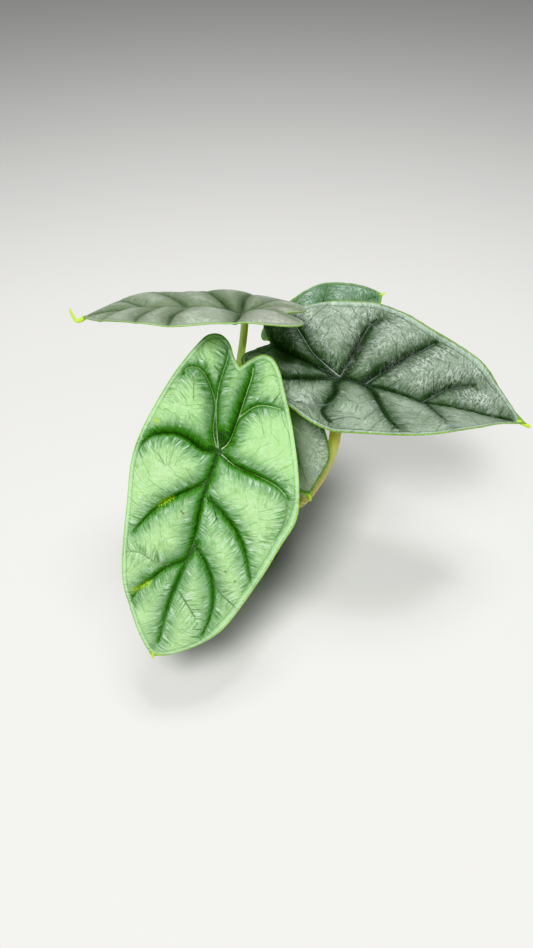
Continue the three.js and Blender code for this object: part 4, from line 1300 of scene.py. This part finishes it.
# %% Drain holes
for i in range(DRAIN_HOLES):
    angle = 2 * math.pi * i / DRAIN_HOLES
    centre = (DRAIN_RING_RADIUS * math.cos(angle) * MM, DRAIN_RING_RADIUS * math.sin(angle) * MM,
              POT_FLOOR / 2 * MM)
    bpy.ops.mesh.primitive_cylinder_add(vertices=DRILL_SIDES, radius=DRAIN_RADIUS * MM,
                                        depth=3 * POT_FLOOR * MM, location=centre)
    drill = bpy.context.object
    bpy.context.view_layer.objects.active = pot
    cut = pot.modifiers.new("drain_hole", "BOOLEAN")
    cut.object = drill
    cut.solver = "EXACT"
    bpy.ops.object.modifier_apply(modifier="drain_hole")
    bpy.data.objects.remove(drill)
bpy.ops.object.select_all(action="DESELECT")
pot.select_set(True)
bpy.ops.object.shade_smooth_by_angle(angle=POT_SMOOTH_ANGLE)
bpy.ops.object.select_all(action="DESELECT")
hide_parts("pot")
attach(pot, "root")
print("drain holes:", DRAIN_HOLES)

# %% [markdown]
# Moulded polypropylene is near black, and its fine grain gives the eye a satin sheen. Upright
# scuffs have greyed it, and dust from the mix clings to it, most of it near the rim.

# %% Pot finish
SCUFFS = (0.5, 0.5, 0.05)  # to a millimetre, across and up
GRAIN_DEPTH, DUST_BELOW_RIM = 0.06, 12
PLASTIC_IOR = 1.49

plastic, shader, add = new_material("moulded black polypropylene")
place = in_mm(add)
stretched = add("VectorMath", place, SCUFFS, operation="MULTIPLY")
scuff = add("TexNoise", Vector=stretched, Scale=1.0, Detail=5.0, Roughness=0.7)
dust = add("TexNoise", Vector=place, Scale=0.35, Detail=6.0, Roughness=0.7)
texture = add("TexNoise", Vector=place, Scale=2.5, Detail=2.0)
high = add("MapRange", add("SeparateXYZ", place, output=2),
           rim_foot - DUST_BELOW_RIM, POT_HEIGHT, 0.15, 0.6)
skin = layered(add, "#1b1b1c", (add("MapRange", scuff, 0.55, 0.75, 0.0, 0.5), "#3a3a3b"),
               (add("MULTIPLY", add("MapRange", dust, 0.5, 0.72), high), "#6b5a48"))
fill(shader, {"Base Color": skin, "IOR": PLASTIC_IOR,
              "Roughness": add("MapRange", scuff, 0.4, 0.7, 0.42, 0.62),
              "Normal": add("Bump", Height=texture, Distance=GRAIN_DEPTH * MM)})
pot.data.materials.append(plastic)
print("pot finish:", plastic.name)

# %% [markdown]
# The soil is one closed body that fills the pot: rings go up its side and then in over the top,
# where noise makes lumps of it. A potting mix also has loose pieces, so a few kinds of crumb are
# modelled with few faces, and copied over the top by a seeded draw: bark, perlite and peat.

# %% Soil
SOIL_SIDES, SOIL_SIDE_RINGS, SOIL_TOP_RINGS = 150, 8, 46
SOIL_GAP = 0.3
SOIL_RELIEF, SOIL_LUMP = 1.1, 16
CLOD_STEP, CRUMB_STEP = 3, 1.3


def soil_height(x, y):
    """The broad lumps of the soil's top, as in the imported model, with finer ones on them."""
    u, v = 2 * np.pi * x / SOIL_LUMP, 2 * np.pi * y / SOIL_LUMP
    broad = 0.5 * SOIL_RELIEF * (np.sin(u + 1) * np.cos(v) + np.sin(u / 2 - v))
    places = np.column_stack([np.ravel(x), np.ravel(y), np.zeros(np.size(x))])
    fine = 0.5 * noise_at(places / CLOD_STEP) + 0.3 * noise_at(places / CRUMB_STEP)
    return SOIL_LEVEL + broad + fine.reshape(np.shape(x))


def inside_radius(z):
    """The radius of the pot's inside at a height."""
    return POT_BASE_RADIUS + (wall_top - POT_BASE_RADIUS) * z / rim_foot - POT_WALL - SOIL_GAP


foot = POT_FLOOR + SOIL_GAP
shoulder = SOIL_LEVEL - 2 * SOIL_RELIEF
turn = np.linspace(0, 2 * np.pi, SOIL_SIDES, endpoint=False)
side_z = np.linspace(foot, shoulder, SOIL_SIDE_RINGS)
top_radius = inside_radius(shoulder) * np.linspace(1, 0.02, SOIL_TOP_RINGS)
radius = np.concatenate([inside_radius(side_z), top_radius])
x, y = radius[:, None] * np.cos(turn), radius[:, None] * np.sin(turn)
top_z = soil_height(x[SOIL_SIDE_RINGS:], y[SOIL_SIDE_RINGS:])
z = np.concatenate([np.tile(side_z[:, None], SOIL_SIDES), top_z])
soil = build_tube("potting_soil", np.stack([x, y, z], axis=2))
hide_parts("soil")
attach(soil, "root")
print("soil:", len(soil.data.polygons), "faces")

# %% Loose pieces of the mix
SEED = 7
FROM_CROWN, FROM_POT = 13, 2.5
TILT, LIFT = 0.5, 0.15
KNOBS = (0.75, 1.2)  # how far a corner of a pebble is pushed in or out
draw = random.Random(SEED)
CRUMBS = {
    "bark_chips": {"count": 90, "size": (1.6, 4.2), "flatness": (1, 0.7, 0.35)},
    "perlite_grains": {"count": 45, "size": (1.0, 2.2), "flatness": (1, 0.9, 0.8)},
    "peat_crumbs": {"count": 150, "size": (0.7, 1.8), "flatness": (1, 0.85, 0.6)},
}


def scatter(name, count, size, flatness):
    """Copies one knobbly pebble over the soil and joins the copies."""
    bpy.ops.mesh.primitive_ico_sphere_add(subdivisions=1, radius=0.5)
    first = bpy.context.object
    first.name = name
    for vertex in first.data.vertices:
        vertex.co *= draw.uniform(*KNOBS)
    shape = first.data.copy()
    outermost = inside_radius(SOIL_LEVEL) - FROM_POT
    copies = []
    while len(copies) < count:
        radius = math.sqrt(draw.uniform(FROM_CROWN**2, outermost**2))
        angle = draw.uniform(0, 2 * math.pi)
        x, y = radius * math.cos(angle), radius * math.sin(angle)
        z = float(soil_height(np.array([x]), np.array([y]))[0])
        length = draw.uniform(*size)
        turned = Matrix.Rotation(draw.uniform(0, 2 * math.pi), 4, "Z")
        tilted = Matrix.Rotation(draw.uniform(-TILT, TILT), 4, "X")
        scaled = Matrix.Diagonal((*(length * MM * f for f in flatness), 1))
        lift = LIFT * length * flatness[2]
        place = Matrix.Translation(Vector((x, y, z + lift)) * MM)
        copy = first if not copies else first.copy()
        copy.data = shape.copy()
        copy.data.transform(place @ turned @ tilted @ scaled)
        if copies:
            bpy.context.collection.objects.link(copy)
        copy.select_set(True)
        copies.append(copy)
    bpy.context.view_layer.objects.active = first
    bpy.ops.object.join()
    bpy.ops.object.select_all(action="DESELECT")
    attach(first, "root")
    return first


crumbs = {name: scatter(name, **kind) for name, kind in CRUMBS.items()}
print("loose pieces:", {name: len(piece.data.polygons) for name, piece in crumbs.items()})

# %% [markdown]
# The mix is dark and damp, so it gives the eye almost no gloss: peat is near black brown, bark is
# red brown with darker splits, and perlite, a puffed volcanic glass, is off-white and rough.

# %% Soil finishes
GRAINS = {  # piece: its material, two colours, grain in mm, roughness, and depth in mm
    soil: ("damp peat mix", "#1f150e", "#3d2c1e", 1.2, 0.95, 0.8),
    crumbs["bark_chips"]: ("composted pine bark", "#5b3a24", "#2c1c12", 0.8, 0.85, 0.3),
    crumbs["perlite_grains"]: ("expanded perlite", "#e8e5dc", "#bdb8ab", 0.4, 0.9, 0.2),
    crumbs["peat_crumbs"]: ("peat crumb", "#2c1e14", "#4a3524", 0.6, 0.95, 0.3),
}
for piece, (name, first, second, grain_mm, roughness, depth_mm) in GRAINS.items():
    material, shader, add = new_material(name)
    grain = add("TexNoise", Vector=in_mm(add), Scale=1 / grain_mm, Detail=5.0, Roughness=0.7)
    skin = layered(add, first, (add("MapRange", grain, 0.38, 0.62), second))
    fill(shader, {"Base Color": skin, "Roughness": roughness,
                  "Normal": add("Bump", Height=grain, Distance=depth_mm * MM)})
    piece.data.materials.append(material)
    print("soil finish:", material.name)
